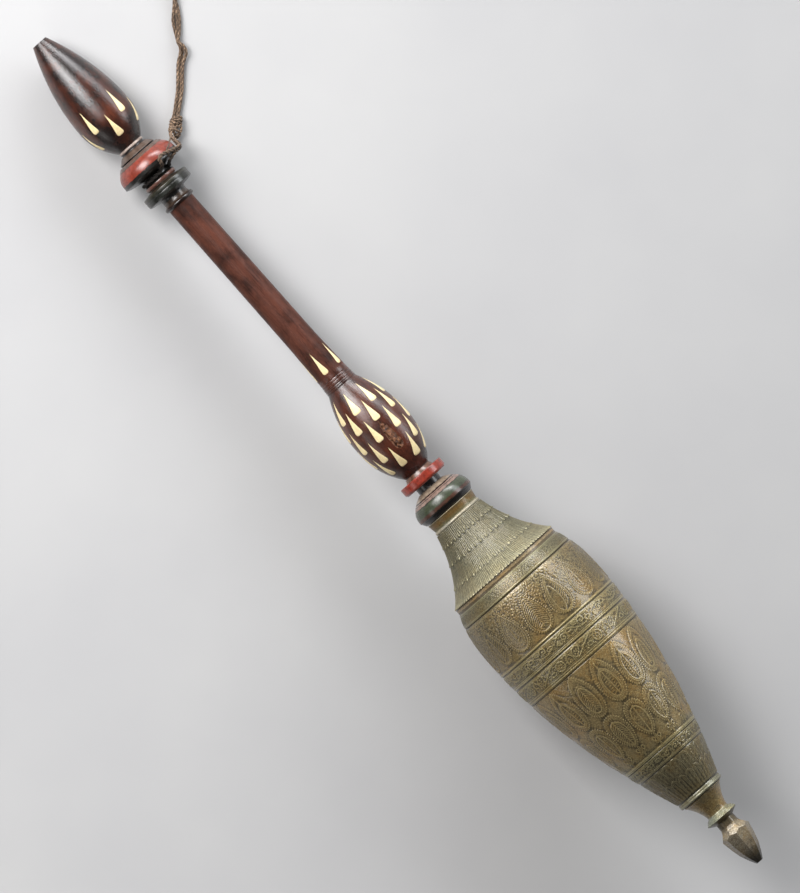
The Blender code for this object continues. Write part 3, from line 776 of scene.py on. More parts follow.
def foliate_curl(cell, turn):
    """A curl with a short tail, turned to one side or the other."""
    cell.stroke(spiral(turn * 0.4, 0.0, 2.6, math.pi / 2, turn * 1.2, 9), 0.5, 0.42)
    cell.stroke([(-turn * 3.2, -3.4), (-turn * 1.6, -3.8), (turn * 2.6, -4.6)], 0.45, 0.36)


def arch(cell, half, narrow, length, whole):
    """A double line round a bow, from foot to foot where it is whole. Its last foot is left out elsewhere."""
    for inset, height in ARCH_LINES:
        reach = half - inset
        bow = [(reach - reach * math.cos(a), reach * math.sin(a)) for a in np.linspace(-1.57, 1.57, 9)]
        edge = [(length, inset - narrow), *shifted(bow, inset), (length, narrow - inset)]
        cell.stroke(edge if whole else edge[:-1], 0.4, height)


def arches(relief):
    """A foliate band, then a row of arches over a second row, up to the end ring."""
    relief.rings((751.9, 0.7, -0.5), (753.0, 0.5, 0.25))
    relief.rings((761.3, 0.5, 0.42), (762.4, 0.45, 0.34), (763.2, 0.6, -0.4))
    for number in range(FOLIATE_CURLS):
        cell = Cell(relief, FOLIATE_MIDDLE, number * 360 / FOLIATE_CURLS + jitter(1.5), (4.4, 4.4, 5.4))
        foliate_curl(cell, 1 if number % 2 else -1)
    filler(relief, 753.4, 761.0, 2.0, 0.34)
    pitch = math.tau / ARCHES
    for number in range(ARCHES):
        angle = number * 360 / ARCHES + jitter(0.5)
        for place, turn, length in ARCH_ROWS:
            half, narrow = (pitch * belly_radius(spot) / 2 for spot in (place, place + length))
            cell = Cell(relief, place + jitter(0.3), angle + turn * 360 / ARCHES, (2, length, half * 1.15))
            arch(cell, half, narrow, length, not turn)
            if turn:
                cell.dots([(0.2, 0)], 1.0, 0.6)
            else:
                cell.dots([(3.8, 0), (6.2, 0.6)], 0.75, 0.36)
                cell.stroke([(7.4, 0), (12.6, 0)], 0.4, 0.26)
    relief.rings((796.2, 0.7, -0.4), (799.7, 0.7, 0.5))
    relief.ground += 0.3 * np.clip((relief.places - 796.6) / 0.6, 0, 1)[:, None]
    relief.sunk[relief.places > 800.9] -= 0.4


WALL_ROWS = 5


def body_stretch(name, ornament, finish):
    """One stretch of the hollow body, with its ornament outside and a smooth wall inside."""
    start, end, row_step, columns = STRETCHES[name]
    relief = Relief(start, end, row_step, columns, belly_radius)
    ornament(relief)
    roughen(relief)
    places = np.linspace(end, start, WALL_ROWS)
    inner = round_points(places, (belly_radius(places) - BRASS_WALL)[:, None], relief.angles)
    mesh = skin("brass_body_" + name, above_floor(np.concatenate([relief.outer_points(), inner])), True)
    store(mesh, "crevice", np.concatenate([relief.crevice(), np.zeros((WALL_ROWS, columns))]))
    add_piece("brass_body_" + name, mesh, [finish], ["brass_body"])


# The brass neck cap: collar, ring and a flaring skirt of feathers
COLLAR_START = 496.3
COLLAR_END = 504.0
COLLAR_BORE = 20.3
COLLAR_EDGES = ((0.0, 22.9), (0.9, 22.9), (1.2, 22.6))
SKIRT_START = 507.0
SKIRT_END = 561.2
SKIRT_FOOT_RADIUS = 23.0
SKIRT_WALL_PLACES = (SKIRT_END - 6.0, 540.0, 523.0)
FEATHERS = 32
FEATHER_ANGLE = 360 / FEATHERS
FIRST_FEATHER = -2.5
FEATHER_ROWS = (507.0, 518.4, 532.4, 548.8, 560.8)
FEATHER_LINES = (3, 4, 5, 6)
LIP_BEADS = 3


def skirt_radius(places):
    part = np.clip((np.asarray(places, float) - SKIRT_START) / (SKIRT_END - SKIRT_START), 0, 1)
    return SKIRT_FOOT_RADIUS + (LIP_RADIUS - SKIRT_FOOT_RADIUS) * (0.45 * part + 0.55 * part**2.45)


def feather_tip(cell):
    """A bead over a sunk bow, and now and then a raised line inside it."""
    cell.dots([(0, 0)], 1.15, random.uniform(0.45, 0.95))
    cell.stroke([(-1.4, -1.4), (0.6, -1.5), (1.6, 0.0), (0.6, 1.5), (-1.4, 1.4)], 0.5, -0.24)
    if random.random() < 0.4:
        cell.stroke([(-2.4, -1.0), (0.3, -1.1), (1.2, 0.0), (0.3, 1.1), (-2.4, 1.0)], 0.45, 0.3)


def lip_beads(relief, angle):
    """The uneven beads and gaps of the lip, beside a feather's angle."""
    for bead in range(LIP_BEADS):
        here = angle + bead * FEATHER_ANGLE / LIP_BEADS + jitter(0.7)
        cell = Cell(relief, SKIRT_END - 0.9 + jitter(0.3), here, (2.2, 2.2, 1.5))
        cell.dots([(0, 0)], 1.1, random.uniform(0.25, 0.8))
        cell = Cell(relief, SKIRT_END - 0.3, here + FEATHER_ANGLE / LIP_BEADS / 2, (2.2, 2.2, 1.5))
        cell.dots([(0, 0)], 1.2, random.uniform(-0.8, -0.3))


def feather_skirt(relief):
    """Four rows of narrow feathers of fine wavering lines, with a rib that ends in a bead at each tip."""
    turn = (relief.angles - FIRST_FEATHER) / 360 * FEATHERS
    number = np.round(turn)
    places = relief.places[:, None]
    last = len(FEATHER_ROWS) - 2
    rough = np.random.default_rng(7)
    for row, (start, end) in enumerate(zip(FEATHER_ROWS, FEATHER_ROWS[1:])):
        inside = (places >= start) & (places <= end + (2.0 if row == last else 0))
        swing = 0.10 * np.sin(places * 0.34 + number * 2.3 + row) + 0.04 * np.sin(places * 1.3 + number * 4.1)
        across = (turn - number) * 2 + swing
        part = np.clip((places - start) / (end - start), 0, 1)
        lift = 0.03 + 0.09 * part**1.5 + 0.14 * np.cos(math.pi * across * FEATHER_LINES[row])
        ribs = rough.uniform(0.0, 0.5 if row == 1 else 0.22, FEATHERS)
        lift = lift + ribs[number.astype(int) % FEATHERS] * part * hump(across / 0.22)
        lift = np.where(places > end - 1.2 * across**2, lift - 0.12, lift)
        relief.ground[:] = np.where(inside, lift, relief.ground)
        for feather in range(FEATHERS):
            angle = FIRST_FEATHER + FEATHER_ANGLE * feather
            if row == last:
                lip_beads(relief, angle)
            else:
                feather_tip(Cell(relief, end - 0.6 + jitter(0.4), angle + jitter(0.7), (2.6, 2.6, 2.6)))


def neck_cap(finish):
    relief = Relief(SKIRT_START, SKIRT_END, 0.66, FEATHERS * 20, skirt_radius)
    feather_skirt(relief)
    roughen(relief, 0.08, 0.03, 0.2)
    collar = Outline(COLLAR_START, COLLAR_BORE + 1.0)
    collar.line(*((COLLAR_START + step, radius) for step, radius in COLLAR_EDGES))
    collar.line((COLLAR_END - 0.3, 21.7), (COLLAR_END, 21.4)).bulge(SKIRT_START - 0.2, 22.7)
    wall = [(place, skirt_radius(place) - BRASS_WALL) for place in SKIRT_WALL_PLACES]
    bore = [(SKIRT_END, wall[0][1]), *wall, (SKIRT_START, COLLAR_BORE), (COLLAR_START, COLLAR_BORE)]
    edge, inside = (turned(line, relief.angles) for line in (collar.softened(0.3), np.array(bore)))
    mesh = skin("brass_neck_cap", above_floor(np.concatenate([edge, relief.outer_points(), inside])), True)
    plain = [np.zeros(part.shape[:2]) for part in (edge, inside)]
    store(mesh, "crevice", np.concatenate([plain[0], relief.crevice(), plain[1]]))
    add_piece("brass_neck_cap_feathered", mesh, [finish], ["brass_neck_cap"])


# The brass foot: waist, flange, neck and bud
FOOT_START = 801.4
SPIGOT_LENGTH = 5.0
SPIGOT_RADIUS = 16.5
WAIST_END = 820.1
WAIST_RADIUS = 9.8
WAIST_FLARE = 8.6
BUD_START = 834.5
BUD_END = 872.3
BUD_FACETS = 8
BUD_LEAN = 0.9
BUD_ROWS = 84
FOOT_COLUMNS = 96

# In degrees, how far two facets turn where their edge is sharp
FACET_EDGE = 32

# The flange and the neck: (how far past the waist's end, radius)
FLANGE = (
    (0.6, 10.2), (1.8, 12.2), (2.2, 12.1), (3.4, 13.6), (3.8, 13.5),
    (4.4, 14.4), (5.2, 14.5), (5.6, 14.1), (8.2, 9.4), (8.6, 8.6),
)

# How far the bud's facets are from its axis: the long upper ones, and the short lower ones half a step round
BUD_UPPER = ((834, 15.5), (840, 13.1), (845.6, 11.9), (851.2, 10.9), (859.2, 8.9), (866.4, 5.9), (872.3, 2.9))
BUD_LOWER = ((828.8, 8.4), (834.0, 8.5), (836.5, 9.2), (840.5, 12.2), (846.0, 16.6), (872.3, 30.0))
BUD_NECK = ((828.8, 8.6), (834.4, 8.7), (837.0, 10.8), (841.0, 16.0), (872.3, 30.0))


def bud_radii(places, angles):
    """The bud's radii: its upper and lower facets meet in a zigzag, and its neck is round."""
    radii = np.broadcast_to(np.interp(places, *zip(*BUD_NECK))[:, None], (len(places), len(angles)))
    for facet in range(BUD_FACETS):
        for shift, profile in ((0.5, BUD_UPPER), (0.0, BUD_LOWER)):
            turn = (angles - (facet + shift) * 360 / BUD_FACETS + 180) % 360 - 180
            slope = np.cos(np.radians(np.clip(turn, -80, 80)))[None, :]
            radii = np.minimum(radii, np.interp(places, *zip(*profile))[:, None] / slope)
    return radii


def foot(finish):
    """The waist, the thin flange and the neck in one turned line, and the faceted bud, which leans to -Y."""
    body = Outline(FOOT_START - SPIGOT_LENGTH, SPIGOT_RADIUS)
    body.line((FOOT_START - 0.1, SPIGOT_RADIUS), (FOOT_START, 18.6)).to(FOOT_START + 1.2, 18.2, 2)
    for part in np.linspace(0.08, 1.0, 20):
        place = FOOT_START + (WAIST_END - FOOT_START) * part
        body.line((place, WAIST_RADIUS + WAIST_FLARE * (1 - part) ** 1.6))
    line = body.line(*((WAIST_END + step, radius) for step, radius in FLANGE)).softened(0.35)
    angles = around(FOOT_COLUMNS)
    low = turned(line, angles)
    places = np.linspace(WAIST_END + 9.2, BUD_END - 0.4, BUD_ROWS)
    bud = round_points(places, bud_radii(places, angles), angles)
    bud[..., 1] -= (BUD_LEAN * np.clip((places - BUD_START) / (BUD_END - BUD_START), 0, 1))[:, None]
    tip = round_points([BUD_END], bud_radii(places[-1:], angles) - 0.5, angles)
    tip[..., 1] -= BUD_LEAN
    mesh = skin("brass_foot", np.concatenate([low, bud, tip]), False)
    mesh.set_sharp_from_angle(angle=math.radians(FACET_EDGE))
    add_piece("brass_foot_and_bud", mesh, [finish], ["brass_foot"])


# The wooden handle: the (place, radius) of its cut end, of its crests and feet, and of its shaft
CUT_RADIUS = 6.8
TOP_CREST = (77.6, 24.5)
TOP_FOOT = (109.6, 11.4)
RED_CREST = (133.0, 26.6)
RED_FOOT = (138.9, 12.6)
DISC_FOOT = (160.8, 12.0)
SHAFT_START = (171.4, 11.7)
SHAFT_MIDDLE = (320.4, 12.2)
SHAFT_END = (352.6, 13.2)
SHAFT_FLARE = 0.075
SHAFT_GROOVES = (356.8, 359.2, 362.0, 363.6, 365.6)
MID_CREST = (412.4, 26.1)
MID_FOOT = (456.6, 11.6)
GREEN_CREST = (490.8, 26.4)
LAST_WOOD = 496.0
TENON_RADIUS = 20.0
TENON_LENGTH = 10.0
HANDLE_COLUMNS = 96

# In degrees, how far two faces of the wood turn where their edge is sharp
WOOD_EDGE = 35


def near_rings(wood):
    """Fine rings, the red ring, the twine's neck, the dark disc and two last beads."""
    wood.line((109.9, 11.2)).bulge(111.9, 11.9)
    wood.line((112.2, 10.9), (113.3, 10.9), (113.5, 12.6), (114.2, 13.2)).to(118.2, 17.4, 3)
    wood.line((118.5, 17.0), (119.3, 16.6), (119.5, 19.2)).to(122.3, 22.0, 2)
    wood.line((122.5, 21.8), (122.8, 22.2)).rise(*RED_CREST, 2.3, 14)
    wood.to(135.4, 26.5, 2).fall(*RED_FOOT, 1.8, 10)
    wood.line((140.6, 12.0), (143.4, 12.0)).bulge(149.2, 14.9, 12)
    wood.line((149.5, 15.4), (150.9, 21.2), (151.6, 21.8), (154.2, 21.8), (154.6, 21.5), (155.0, 21.8))
    wood.line((158.4, 21.7)).fall(*DISC_FOOT, 2.0, 8)
    wood.line((162.4, 11.3), (165.6, 11.5)).rise(167.4, 12.3, 0.8, 4).bulge(171.0, 14.0, 10)


def far_rings(wood):
    """The red ring, a neck, the dark green ring and the step up to the collar."""
    wood.line((456.8, 12.2)).to(459.8, 13.6, 2).line((460.0, 13.6), (460.1, 20.2), (460.6, 20.6))
    wood.to(466.4, 20.6, 3).line((468.1, 19.0), (468.2, 11.2)).to(473.2, 11.2, 2).line((473.2, 12.6))
    wood.rise(*GREEN_CREST, 2.6, 26).line((491.6, 26.3), (492.0, 25.7), (492.6, 25.4))
    wood.to(495.4, 23.6, 3).line((LAST_WOOD, 22.4))


def handle_outline():
    """The wood's outline: two bulbs with a shaft between them, and turned rings beyond each bulb."""
    wood = Outline(0, CUT_RADIUS)
    wood.rise(*TOP_CREST, 1.95, 44).fall(*TOP_FOOT, 2.2, 30)
    near_rings(wood)
    wood.line(SHAFT_START).to(*SHAFT_MIDDLE, 36).to(*SHAFT_END, 8)
    for place in SHAFT_GROOVES:
        wood.line((place - 0.5, SHAFT_END[1] + (place - SHAFT_END[0]) * SHAFT_FLARE)).groove(place, 0.9, 0.35)
    wood.line((366.4, 14.3)).rise(*MID_CREST, 2.0, 34).fall(*MID_FOOT, 2.5, 34)
    far_rings(wood)
    return wood


def radius_of(line, places):
    return np.interp(places, line[:, 0], line[:, 1])


def node_spot(node):
    """A drop's place along the staff and its angle round it, from its CAD node."""
    inverse = AXIS.inverted()
    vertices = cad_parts[node].data.vertices
    points = {tuple(round(value, 5) for value in inverse @ vertex.co) for vertex in vertices}
    places = [point[0] for point in points]
    middle = Vector(np.mean(sorted(points), axis=0))
    return (min(places) + max(places)) / 2 / MM, math.degrees(math.atan2(-middle.y, middle.z))


# How far to each side of a drop's middle the wood's slope is taken
SLOPE_REACH = 8.0

# Half a drop's outline: its width at shares of its length, from its point to its blunt end
DROP_HALF = (
    (0.0, 0.0), (0.12, 0.10), (0.27, 0.25), (0.42, 0.42), (0.56, 0.59), (0.70, 0.77), (0.80, 0.90),
    (0.87, 0.98), (0.92, 1.0), (0.96, 0.93), (0.985, 0.76), (1.0, 0.45),
)


def drop_outline(grow, length, width):
    """A closed outline of (x, y), from the drop's point round its blunt end and back."""
    half = [((part - 0.5) * (length + 2 * grow), across * (width / 2 + grow)) for part, across in DROP_HALF]
    return half + [(x, -y) for x, y in reversed(half[1:])]


def drop_frame(line, place, angle, yaw):
    """A frame on the wood at a drop's middle, whose x axis runs along its surface to the tip."""
    low, high = radius_of(line, place - SLOPE_REACH), radius_of(line, place + SLOPE_REACH)
    slope = math.atan2(high - low, 2 * SLOPE_REACH)
    foot = Matrix.Translation((place, 0, radius_of(line, place)))
    leaning = Matrix.Rotation(math.radians(angle), 4, "X") @ foot @ Matrix.Rotation(-slope, 4, "Y")
    return leaning @ Matrix.Rotation(math.radians(yaw), 4, "Z")


def strip(bm, low, high, closed=False):
    """Faces between two rows of corners."""
    for side in range(len(low) if closed else len(low) - 1):
        after = (side + 1) % len(low)
        bm.faces.new((low[side], low[after], high[after], high[side]))


def mesh_of(name, bm):
    mesh = bpy.data.meshes.new(name)
    bm.to_mesh(mesh)
    bm.free()
    return mesh


# A drop's lower edge: how much smaller it is than its outline, and how deep its sides start
DROP_TAPER = (0.98, 0.96)
DROP_RIM_DEPTH = 0.15

# In degrees, how far two faces of a drop turn where their edge is sharp
DROP_EDGE = 50


def drop_solid(name, line, matrix, outline, shares, depth, proud, rests=False):
    """A drop whose top follows the wood, at shares of its outline. It may rest on the floor."""
    bm = bmesh.new()

    def corner(x, y, beside):
        height = 0.0
        for _ in range(3):
            spot = matrix @ Vector((x, y, height))
            height += radius_of(line, spot.x) - math.hypot(spot.y, spot.z)
        corner_spot = np.array(matrix @ Vector((x, y, height + beside)))
        return bm.verts.new((above_floor(corner_spot) if rests else corner_spot) * MM)

    rings = [[corner(x * DROP_TAPER[0], y * DROP_TAPER[1], -depth) for x, y in outline]]
    rings.append([corner(x, y, -DROP_RIM_DEPTH) for x, y in outline])
    for share, lift in shares:
        rings.append([corner(x * share, y * share, lift * proud) for x, y in outline])
    for ring, other in zip(rings, rings[1:]):
        strip(bm, ring, other, closed=True)
    bm.faces.new(reversed(rings[0]))
    bm.faces.new(rings[-1])
    bmesh.ops.recalc_face_normals(bm, faces=bm.faces[:])
    mesh = mesh_of(name, bm)
    mesh.shade_smooth()
    mesh.set_sharp_from_angle(angle=math.radians(DROP_EDGE))
    return mesh


def join_meshes(name, meshes):
    bm = bmesh.new()
    for mesh in meshes:
        bm.from_mesh(mesh)
        bpy.data.meshes.remove(mesh)
    return mesh_of(name, bm)


def cut_away(mesh, cutter_mesh):
    """The mesh without what the cutter holds. Cut faces keep the cutter's material."""
    thing = new_object("uncut", mesh)
    cutter = new_object("cutter", cutter_mesh)
    boolean = thing.modifiers.new("pockets", "BOOLEAN")
    boolean.operation = "DIFFERENCE"
    boolean.solver = "EXACT"
    boolean.material_mode = "TRANSFER"
    boolean.object = cutter
    graph = bpy.context.evaluated_depsgraph_get()
    result = bpy.data.meshes.new_from_object(thing.evaluated_get(graph))
    for made in (thing, cutter):
        bpy.data.objects.remove(made)
    return result


# The drops' length, and their width on each part of the wood
DROP_LENGTH = 21.4
DROP_WIDTHS = {"top": 6.1, "shaft": 5.5, "mid": 6.9}

# A drop and its wider pocket: (share of the outline, share of the height), how deep it is and how high
DROP_RISE = ((0.97, 0.5), (0.86, 1), (0.45, 1.2))
DROP_DEPTH = 1.3
DROP_PROUD = 0.12
POCKET_GAP = 0.12
POCKET_RISE = ((1, 10), (0.9, 12))
POCKET_DEPTH = 1.45
POCKET_PROUD = 0.1

# Where the handle's finishes change, from its cut end, and each stretch's finish
SHAFT_WOOD_START = 171.2
FAR_LACQUER_END = 506.2
FINISH_CHANGES = (109.5, SHAFT_WOOD_START, 354.0, 456.7)
FINISH_ORDER = (0, 1, 2, 0, 3)


def wooden_handle(finishes, raw_finish, bone_finish):
    """The handle with a pocket for each drop, the drops, and the broken pocket of the lost one."""
    line = handle_outline().softened(0.35)
    tenon = [(LAST_WOOD, TENON_RADIUS), (LAST_WOOD + TENON_LENGTH, TENON_RADIUS)]
    points = turned(np.concatenate([line, tenon]), around(HANDLE_COLUMNS))
    mesh = skin("wooden_handle", above_floor(points), False)
    for finish in finishes:
        mesh.materials.append(finish)
    for face in mesh.polygons:
        face.material_index = FINISH_ORDER[np.searchsorted(FINISH_CHANGES, face.center.x / MM)]
    cutters = []
    for node in sorted(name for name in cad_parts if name.startswith("bone_drop")):
        place, angle = node_spot(node)
        matrix = drop_frame(line, place, angle, jitter(1.8))
        length = DROP_LENGTH + jitter(0.6)
        width = DROP_WIDTHS[node.split("_")[2]] * random.uniform(0.93, 1.07)
        shape = drop_outline(0, length, width)
        drop = drop_solid(node, line, matrix, shape, DROP_RISE, DROP_DEPTH, DROP_PROUD, rests=True)
        add_piece(node.replace("drop", "inlay"), drop, [bone_finish], [node])
        wide = drop_outline(POCKET_GAP, length, width)
        cutters.append(drop_solid("pocket", line, matrix, wide, POCKET_RISE, POCKET_DEPTH, POCKET_PROUD))
    for cutter in (join_meshes("pockets", cutters), broken_pocket(line)):
        cutter.materials.append(raw_finish)
        mesh = cut_away(mesh, cutter)
    mesh.set_sharp_from_angle(angle=math.radians(WOOD_EDGE))
    add_piece("wooden_handle", mesh, [], ["handle"])


# The lost drop: its place, its angle and how far it is turned in the wood
LOST_DROP = (420.2, -8.0, 2)

# Its torn pocket: half its width at places from its middle, its holes (x, y, size, depth) and its crack
TORN_HALF = ((-14.6, 0.3), (-11, 1.6), (-8.5, 2.4), (-6, 3.4), (0, 3.9), (8, 4.0), (12, 3.6), (14.3, 1.8))
TORN_HOLES = ((-7.6, -0.9, 1.7, 1.9), (11.4, 1.0, 2.2, 1.6), (10.0, -1.6, 1.7, 1.4), (-3.4, 0.2, 1.2, 0.9))
TORN_DEPTH = 0.55
TORN_CRACK_START = -4.0
TORN_CRACK_DEPTH = 1.2
TORN_ROOF = 1.2
TORN_ROWS = 34
TORN_COLUMNS = 11


def torn_depth(x, y, half, rough):
    """How deep the torn floor is at a spot: uneven, with a crack along one side and deeper holes."""
    depth = TORN_DEPTH + rough.uniform(-0.28, 0.28) - 0.25 * math.sin(x * 1.3 + y)
    if x > TORN_CRACK_START:
        depth += TORN_CRACK_DEPTH * float(hump(np.array((y + 0.66 * half) / 1.1)))
    for hole_x, hole_y, size, deep in TORN_HOLES:
        depth += deep * float(hump(np.array(math.hypot(x - hole_x, y - hole_y) / size)))
    return depth


def broken_pocket(line):
    """A solid in the shape of the torn pocket, with an uneven floor and ragged edges."""
    matrix = drop_frame(line, *LOST_DROP)
    rough = random.Random(5)
    bm = bmesh.new()
    floor, roof = [], []
    for x in np.linspace(TORN_HALF[0][0], TORN_HALF[-1][0], TORN_ROWS):
        half = np.interp(x, *zip(*TORN_HALF)) + rough.uniform(-0.25, 0.25)
        low, high = [], []
        for share in np.linspace(-1, 1, TORN_COLUMNS):
            y = share * max(half, 0.25)
            depth = torn_depth(x, y, half, rough)
            spot = matrix @ Vector((x, y, 0))
            sag = radius_of(line, spot.x) - math.hypot(spot.y, spot.z)
            low.append(bm.verts.new((matrix @ Vector((x, y, sag - depth))) * MM))
            high.append(bm.verts.new((matrix @ Vector((x, y, sag + TORN_ROOF))) * MM))
        floor.append(low)
        roof.append(high)
    for sheet in (floor, roof):
        for near, far in zip(sheet, sheet[1:]):
            strip(bm, near, far)
    for column in (0, -1):
        strip(bm, *([row[column] for row in sheet] for sheet in (floor, roof)))
    for row in (0, -1):
        strip(bm, floor[row], roof[row])
    bmesh.ops.recalc_face_normals(bm, faces=bm.faces[:])
    return mesh_of("torn_pocket", bm)


# Twine: each strand's radius and its lay, which is the length of one turn of its yarns
LOOP_STRAND = (1.65 * MM, 8.4 * MM)
THIN_STRAND = (0.7 * MM, 5.0 * MM)
KNOT_STRAND = (1.2 * MM, 7.0 * MM)
RUN_RADII = (1.45, 1.5, 1.1)
RUN_LAY = 14.0 * MM
PLY_STEP = 0.7 * MM
TUBE_SIDES = 8

# A yarn's radius beside its strand's, for two and for three yarns
YARN_SHARES = {2: 0.56, 3: 0.64}

# The loop's strands, in the staff's frame in millimetres: (place along it, aside to +Y, over its axis)
ROPE_ROUTE = (
    (120.0, 35.2, -20.0), (121.6, 33.4, -17.4), (124.0, 30.8, -15.6), (128.0, 29.8, -9.0),
    (132.2, 30.4, -2.4), (135.4, 30.2, 3.6), (136.0, 27.2, 9.6), (135.0, 23.4, 15.8), (134.0, 19.8, 20.0),
    (133.0, 16.4, 22.8), (132.7, 13.2, 24.8), (133.6, 10.6, 26.2), (136.4, 9.4, 24.2), (138.8, 8.6, 17.8),
    (141.2, 5.0, 13.2), (141.9, -1.0, 13.9), (141.9, -8.6, 10.8), (141.9, -13.4, 2.8), (141.9, -11.4, -7.6),
    (141.9, -3.0, -13.4), (141.9, 7.0, -11.8), (141.8, 13.2, -3.6), (141.4, 13.4, 5.4), (140.2, 15.2, 12.0),
    (138.6, 19.4, 13.4), (137.6, 23.8, 11.2), (137.4, 27.6, 5.0), (136.2, 29.4, -3.0), (131.0, 29.4, -11.0),
    (125.6, 29.6, -18.0), (122.0, 32.0, -21.0),
)
THIN_ROUTE = (
    (122.0, 32.6, -17.0), (125.4, 29.4, -11.6), (128.4, 25.6, 3.4), (130.4, 22.8, 13.6),
    (132.2, 19.4, 19.4), (134.4, 18.4, 20.6), (137.4, 17.6, 15.0),
)

# The run's points on the floor, from the knot to the end knot, as in the CAD
CORD_ROUTE = (
    (-0.3116, 0.0366, 0.0096), (-0.3140, 0.0380, 0.0062), (-0.3172, 0.0416, 0.0040),
    (-0.3208, 0.0464, 0.0033), (-0.3262, 0.0528, 0.0033), (-0.3321, 0.0596, 0.0033),
    (-0.3400, 0.0668, 0.0033), (-0.3474, 0.0736, 0.0033), (-0.3516, 0.0790, 0.0033),
    (-0.3556, 0.0828, 0.0033), (-0.3620, 0.0846, 0.0033), (-0.3692, 0.0892, 0.0033),
    (-0.3772, 0.0956, 0.0033), (-0.3838, 0.1004, 0.0033), (-0.3900, 0.1042, 0.0033),
    (-0.3980, 0.1096, 0.0033), (-0.4060, 0.1150, 0.0033),
)


def smooth(route, steps):
    """Points on a smooth curve through a route's points."""
    spots = np.array(route, float)
    spots = np.concatenate([spots[:1], spots, spots[-1:]])
    made = []
    for a, b, c, d in zip(spots, spots[1:], spots[2:], spots[3:]):
        for t in np.arange(steps) / steps:
            swing = (2 * a - 5 * b + 4 * c - d) * t**2 + (3 * b - a - 3 * c + d) * t**3
            made.append(b + ((c - a) * t + swing) / 2)
    made.append(spots[-1])
    return np.array(made)


def evenly(points, step):
    """Points a step apart along a line of points."""
    along = lengths_along(points)
    stops = np.linspace(0, along[-1], max(3, round(along[-1] / step)))
    return np.stack([np.interp(stops, along, points[:, axis]) for axis in range(3)], axis=1), stops


def side_frames(points):
    """Two directions across a line at each of its points, carried along without twist."""
    tangents = np.gradient(points, axis=0)
    tangents /= np.linalg.norm(tangents, axis=1)[:, None]
    side = np.cross(tangents[0], (0.3, 0.2, 1.0))
    sides = []
    for tangent in tangents:
        side = side - tangent * (side @ tangent)
        side = side / np.linalg.norm(side)
        sides.append(side)
    sides = np.array(sides)
    return sides, np.cross(tangents, sides)


def plied(path, radius, lay, yarns=2, start=0.0):
    """Yarns twisted about a path into one strand: for each, its line, its radius and how far out it is."""
    points, along = evenly(path, PLY_STEP)
    first, second = side_frames(points)
    yarn = radius * YARN_SHARES[yarns]
    apart = radius - yarn
    half = apart * math.sin(math.pi / yarns)
    valley = apart * math.cos(math.pi / yarns) + math.sqrt(yarn**2 - half**2)
    lines = []
    for number in range(yarns):
        turn = start + math.tau * (along / lay + number / yarns)
        offset = first * np.cos(turn)[:, None] + second * np.sin(turn)[:, None]
        lines.append((points + offset * apart, yarn, points, (valley, radius)))
    return lines


def tubes_mesh(name, lines):
    """One mesh of capped tubes round lines, which knows where each point is along and out of its strand."""
    vertices, faces, fibres, outward = [], [], [], []
    turns = np.arange(TUBE_SIDES) / TUBE_SIDES * math.tau
    for number, (line, radius, middle, reach) in enumerate(lines):
        first, second = side_frames(line)
        ring = first[:, None] * np.cos(turns)[None, :, None] + second[:, None] * np.sin(turns)[None, :, None]
        index = len(vertices) + np.arange(len(line) * TUBE_SIDES).reshape(-1, TUBE_SIDES)
        faces += ring_faces(index, False)
        skin_points = line[:, None] + ring * radius
        vertices += skin_points.reshape(-1, 3).tolist()
        apart = np.linalg.norm(skin_points - middle[:, None], axis=-1).ravel()
        outward.append(np.interp(apart, reach, (0, 1)))
        along = lengths_along(line)[:, None] / MM
        lean = along * 0.9 + turns[None, :]
        spot = (along * 0.35 + 0 * lean, np.cos(lean) * 1.2, np.sin(lean) * 1.2 + 9 * number)
        fibres.append(np.stack(spot, axis=-1).reshape(-1, 3))
    mesh = smooth_mesh(name, vertices, faces)
    store(mesh, "outward", np.concatenate(outward))
    fibre = mesh.attributes.new("fibre", "FLOAT_VECTOR", "POINT")
    fibre.data.foreach_set("vector", np.concatenate(fibres).ravel().astype(np.float32))
    return mesh


def staff_path(route):
    """A smooth path in the world's frame through points in the staff's frame."""
    return smooth([AXIS @ (Vector(spot) * MM) for spot in route], 6)


def seen_path(route):
    """A smooth path through pixels of the photograph, at heights over the floor in millimetres."""
    return smooth([seen_spot(*spot) for spot in route], 7)


# How the run's three strands lie beside its middle: (share of its length, aside, up), in millimetres
STRAND_LAYS = (
    ((0.0, -1.5, 0.6), (0.30, -1.8, -0.4), (0.44, -1.7, -0.2), (0.50, -1.4, 0.2), (0.56, -0.9, 0.0),
     (0.59, -0.6, 0.0), (0.64, -1.4, -0.6), (0.70, -2.9, -0.8), (0.77, -1.7, -0.8), (0.82, -0.2, 0.2),
     (0.86, 0.1, 0.8), (1.0, 0.3, -0.8)),
    ((0.0, 1.5, 0.6), (0.30, 1.8, -0.4), (0.42, 1.9, 0.0), (0.46, 2.4, 0.4), (0.49, 3.2, 0.8),
     (0.515, 2.8, 1.6), (0.545, 1.0, 2.2), (0.57, -0.6, 2.0), (0.60, 0.6, 0.8), (0.65, 1.9, -0.4),
     (0.70, 2.4, -0.8), (0.77, 1.9, -0.8), (0.82, 1.1, -0.4), (0.86, 1.0, -0.8), (1.0, -0.3, -0.8)),
    ((0.0, 0.2, -1.2), (0.30, 0.1, -1.2), (0.50, 0.2, -1.0), (0.59, 0.4, -0.8), (0.66, 0.6, 0.4),
     (0.72, 0.3, 0.6), (0.80, 0.6, 1.0), (0.84, 0.6, 2.2), (1.0, 0.0, 1.0)),
)


